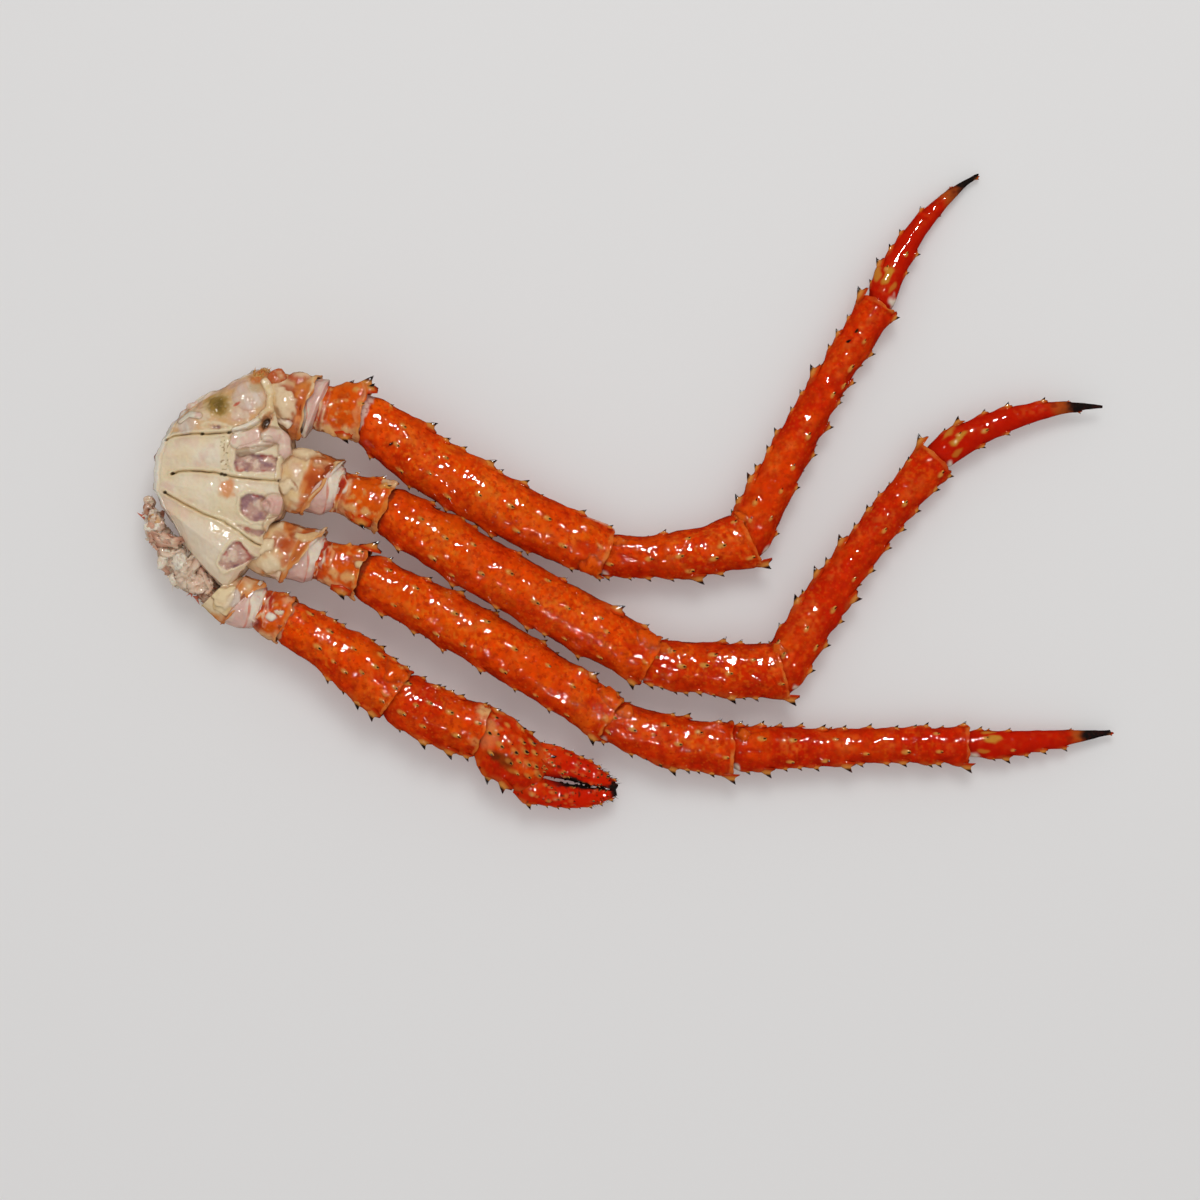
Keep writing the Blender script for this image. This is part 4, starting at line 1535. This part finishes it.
def pigment_group():
    """Fine spots and mottles laid over a colour: pale dots of one size, dark flecks of another
    and a slight change of shade."""
    group, taken, given = node_group(
        "pigment",
        [("Colour", COLOUR, (0.8, 0.8, 0.8, 1)), ("Amount", NUMBER, 1.0),
         ("Dot Colour", COLOUR, (0.9, 0.5, 0.2, 1)), ("Dot Size", NUMBER, 0.003),
         ("Dots", NUMBER, 0.4), ("Fleck Colour", COLOUR, (0.3, 0.02, 0.01, 1)),
         ("Fleck Size", NUMBER, 0.0012), ("Flecks", NUMBER, 0.3)],
        [("Colour", COLOUR)])
    coordinates = group.nodes.new("ShaderNodeTexCoord")
    cells = group.nodes.new("ShaderNodeTexVoronoi")
    group.links.new(coordinates.outputs["Object"], cells.inputs["Vector"])
    group.links.new(maths(group, "DIVIDE", 1.0, taken.outputs["Dot Size"]), cells.inputs["Scale"])
    dots = maths(group, "MULTIPLY", spread(group, cells.outputs["Distance"], 0.34, 0.16),
                 taken.outputs["Dots"])
    dots = maths(group, "MULTIPLY", dots, taken.outputs["Amount"])
    flecks = maths(group, "MULTIPLY", spread(group, noise(group, taken.outputs["Fleck Size"], 3.0),
                                             0.52, 0.66), taken.outputs["Flecks"])
    flecks = maths(group, "MULTIPLY", flecks, taken.outputs["Amount"])
    colour = mixed(group, flecks, taken.outputs["Colour"], taken.outputs["Fleck Colour"])
    colour = mixed(group, dots, colour, taken.outputs["Dot Colour"])
    group.links.new(colour, given.inputs["Colour"])
    return group


def wet_surface_group():
    """Height and roughness of a moist surface: small pits and softer ripples, wet in places."""
    group, taken, given = node_group(
        "wet surface",
        [("Pit Size", NUMBER, 0.001), ("Ripple Size", NUMBER, 0.004), ("Pits", NUMBER, 0.5),
         ("Wet", NUMBER, 0.15), ("Dry", NUMBER, 0.4)],
        [("Height", NUMBER), ("Roughness", NUMBER)])
    pits = maths(group, "MULTIPLY", noise(group, taken.outputs["Pit Size"], 2.0),
                 taken.outputs["Pits"])
    height = maths(group, "ADD", pits, noise(group, taken.outputs["Ripple Size"], 1.0))
    patches = spread(group, noise(group, 0.006, 3.0), 0.40, 0.62)
    range_ = maths(group, "SUBTRACT", taken.outputs["Dry"], taken.outputs["Wet"])
    rough = maths(group, "ADD", maths(group, "MULTIPLY", patches, range_), taken.outputs["Wet"])
    group.links.new(height, given.inputs["Height"])
    group.links.new(rough, given.inputs["Roughness"])
    return group


PIGMENT = ("Dot Colour", "Dot Size", "Dots", "Fleck Colour", "Fleck Size", "Flecks")
SURFACE = ("Pit Size", "Ripple Size", "Pits", "Wet", "Dry")
RELIEF = 0.0006  # metres from the lowest to the highest bump
SUBSURFACE_RADIUS = (1.0, 0.3, 0.15)
SUBSURFACE_SCALE = 0.0015
Finish = namedtuple("Finish", "name pigment surface bump specular subsurface")
FINISHES = {  # by slot; values of the pigment and surface inputs in the order above
    "shell": Finish(
        "cooked shell",
        ((0.84, 0.20, 0.015, 1), 0.0023, 0.16, (0.38, 0.012, 0.001, 1), 0.0026, 0.5),
        (0.0012, 0.0042, 0.0, 0.03, 0.08), bump=0.75, specular=0.5, subsurface=0.0),
    "shoulder_wall": Finish(
        "shoulder plate",
        ((0.80, 0.74, 0.60, 1), 0.0024, 0.35, (0.66, 0.42, 0.24, 1), 0.002, 0.35),
        (0.0012, 0.0045, 0.07, 0.08, 0.22), bump=0.8, specular=0.5, subsurface=0.15),
    "joint_skin": Finish(
        "joint skin",
        ((0.85, 0.78, 0.72, 1), 0.002, 0.3, (0.66, 0.30, 0.24, 1), 0.0015, 0.3),
        (0.001, 0.003, 0.1, 0.08, 0.2), bump=0.8, specular=0.5, subsurface=0.3),
    "meat": Finish(
        "torn meat",
        ((0.84, 0.74, 0.60, 1), 0.0026, 0.25, (0.56, 0.28, 0.20, 1), 0.0018, 0.35),
        (0.0008, 0.0025, 0.25, 0.1, 0.3), bump=1.0, specular=0.4, subsurface=0.15),
}


def group_node(tree, group, labels, values):
    """A node that uses the group, with its inputs set."""
    node = tree.nodes.new("ShaderNodeGroup")
    node.node_tree = group
    for label, value in zip(labels, values):
        node.inputs[label].default_value = value
    return node


def food_material(finish, pigment, wet_surface):
    """A Principled surface whose colour is the piece's paint under the fine pigment, with the
    wet surface's relief and roughness."""
    material = bpy.data.materials.new(finish.name)
    material.use_nodes = True
    tree = material.node_tree
    shader = tree.nodes["Principled BSDF"]
    paint = tree.nodes.new("ShaderNodeAttribute")
    paint.attribute_name = "paint"
    spots = group_node(tree, pigment, PIGMENT, finish.pigment)
    tree.links.new(paint.outputs["Color"], spots.inputs["Colour"])
    tree.links.new(paint.outputs["Alpha"], spots.inputs["Amount"])
    tree.links.new(spots.outputs["Colour"], shader.inputs["Base Color"])
    moist = group_node(tree, wet_surface, SURFACE, finish.surface)
    relief = tree.nodes.new("ShaderNodeBump")
    relief.inputs["Strength"].default_value = finish.bump
    relief.inputs["Distance"].default_value = RELIEF
    tree.links.new(moist.outputs["Height"], relief.inputs["Height"])
    tree.links.new(relief.outputs["Normal"], shader.inputs["Normal"])
    tree.links.new(moist.outputs["Roughness"], shader.inputs["Roughness"])
    shader.inputs["Specular IOR Level"].default_value = finish.specular
    if finish.subsurface:
        shader.inputs["Subsurface Weight"].default_value = finish.subsurface
        shader.inputs["Subsurface Radius"].default_value = SUBSURFACE_RADIUS
        shader.inputs["Subsurface Scale"].default_value = SUBSURFACE_SCALE
    return material


# ---------------------------------------------------------------- floor, light and camera
FLOOR_HALF = 3.0
FLOOR_PALE = (0.69, 0.705, 0.70, 1)
FLOOR_ROUGHNESS = 0.7
FLOOR_GLOW = (1.0, 0.80, 0.78, 1)  # weak, so that shadows stay pale
FLOOR_GLOW_STRENGTH = 0.11
LAMPS = (  # name, place, size, watts, whether it gives highlights instead of light
    ("softbox", (0.25, 1.45, 2.45), 1.3, 21.0, False),
    ("fill", (-0.1, -0.7, 2.9), 3.0, 8.5, False),
    ("sparkle", (0.12, 0.93, 1.55), 0.24, 20.0, True),
    ("low sparkle", (-0.3, -1.1, 1.35), 0.08, 2.2, True),
)
SURROUNDINGS = 0.555  # strength of the white all round, and how much of it highlights lose
LOST_IN_HIGHLIGHTS = 0.545
CAMERA_PLACE = (-0.015, -0.0569, 1.815)
CAMERA_LENS = 108.0
CAMERA_SENSOR = 36.0


def add(name, data, place=(0.0, 0.0, 0.0)):
    """An object of its own in the scene."""
    obj = bpy.data.objects.new(name, data)
    obj.location = place
    bpy.context.scene.collection.objects.link(obj)
    return obj


def build_floor():
    """A plain pale floor that highlights don't show."""
    mesh = bpy.data.meshes.new("floor")
    half = FLOOR_HALF
    mesh.from_pydata([(-half, -half, 0), (half, -half, 0), (half, half, 0), (-half, half, 0)], [],
                     [(0, 1, 2, 3)])
    floor = add("floor", mesh)
    paper = bpy.data.materials.new("pale floor")
    paper.use_nodes = True
    shader = paper.node_tree.nodes["Principled BSDF"]
    shader.inputs["Base Color"].default_value = FLOOR_PALE
    shader.inputs["Roughness"].default_value = FLOOR_ROUGHNESS
    shader.inputs["Emission Color"].default_value = FLOOR_GLOW
    shader.inputs["Emission Strength"].default_value = FLOOR_GLOW_STRENGTH
    mesh.materials.append(paper)
    floor.visible_glossy = False


def build_lights():
    """Square lamps aimed at the middle, each giving either light or highlights, and a white
    surrounding that highlights hardly show."""
    for name, place, size, watts, highlights in LAMPS:
        data = bpy.data.lights.new(name, "AREA")
        data.shape, data.size, data.energy = "SQUARE", size, watts
        lamp = add(name, data, place)
        lamp.rotation_euler = (-mathutils.Vector(place)).to_track_quat("-Z", "Y").to_euler()
        lamp.visible_glossy, lamp.visible_diffuse = highlights, not highlights
    world = bpy.data.worlds.new("studio")
    world.use_nodes = True
    tree = world.node_tree
    background = tree.nodes["Background"]
    path = tree.nodes.new("ShaderNodeLightPath")
    lost = maths(tree, "MULTIPLY", path.outputs["Is Glossy Ray"], -LOST_IN_HIGHLIGHTS)
    tree.links.new(maths(tree, "ADD", lost, SURROUNDINGS), background.inputs["Strength"])
    background.inputs["Color"].default_value = (1, 1, 1, 1)
    bpy.context.scene.world = world


def build_camera():
    """A camera straight above, with the view turned so that brightness is kept as it is."""
    data = bpy.data.cameras.new("camera")
    data.sensor_width = CAMERA_SENSOR
    data.lens = CAMERA_LENS
    bpy.context.scene.camera = add("camera", data, CAMERA_PLACE)
    bpy.context.scene.view_settings.view_transform = "Standard"


def main():
    """Builds every piece and the stage."""
    rng = np.random.default_rng(7)
    corner = np.array(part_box("shoulder")[1])
    hub = np.array([corner[0] - HUB_REACH[0], corner[1] - HUB_REACH[1], HUB_HEIGHT])
    groups = pigment_group(), wet_surface_group()
    materials = {slot: food_material(finish, *groups) for slot, finish in FINISHES.items()}
    build_shoulder(hub, materials, rng)
    build_meat(hub, materials, rng)
    for leg in ("hind", "middle", "fore"):
        build_leg(leg, hub, materials, rng)
    build_claw(build_leg("claw", hub, materials, rng), materials, rng)
    build_floor()
    build_lights()
    build_camera()


main()
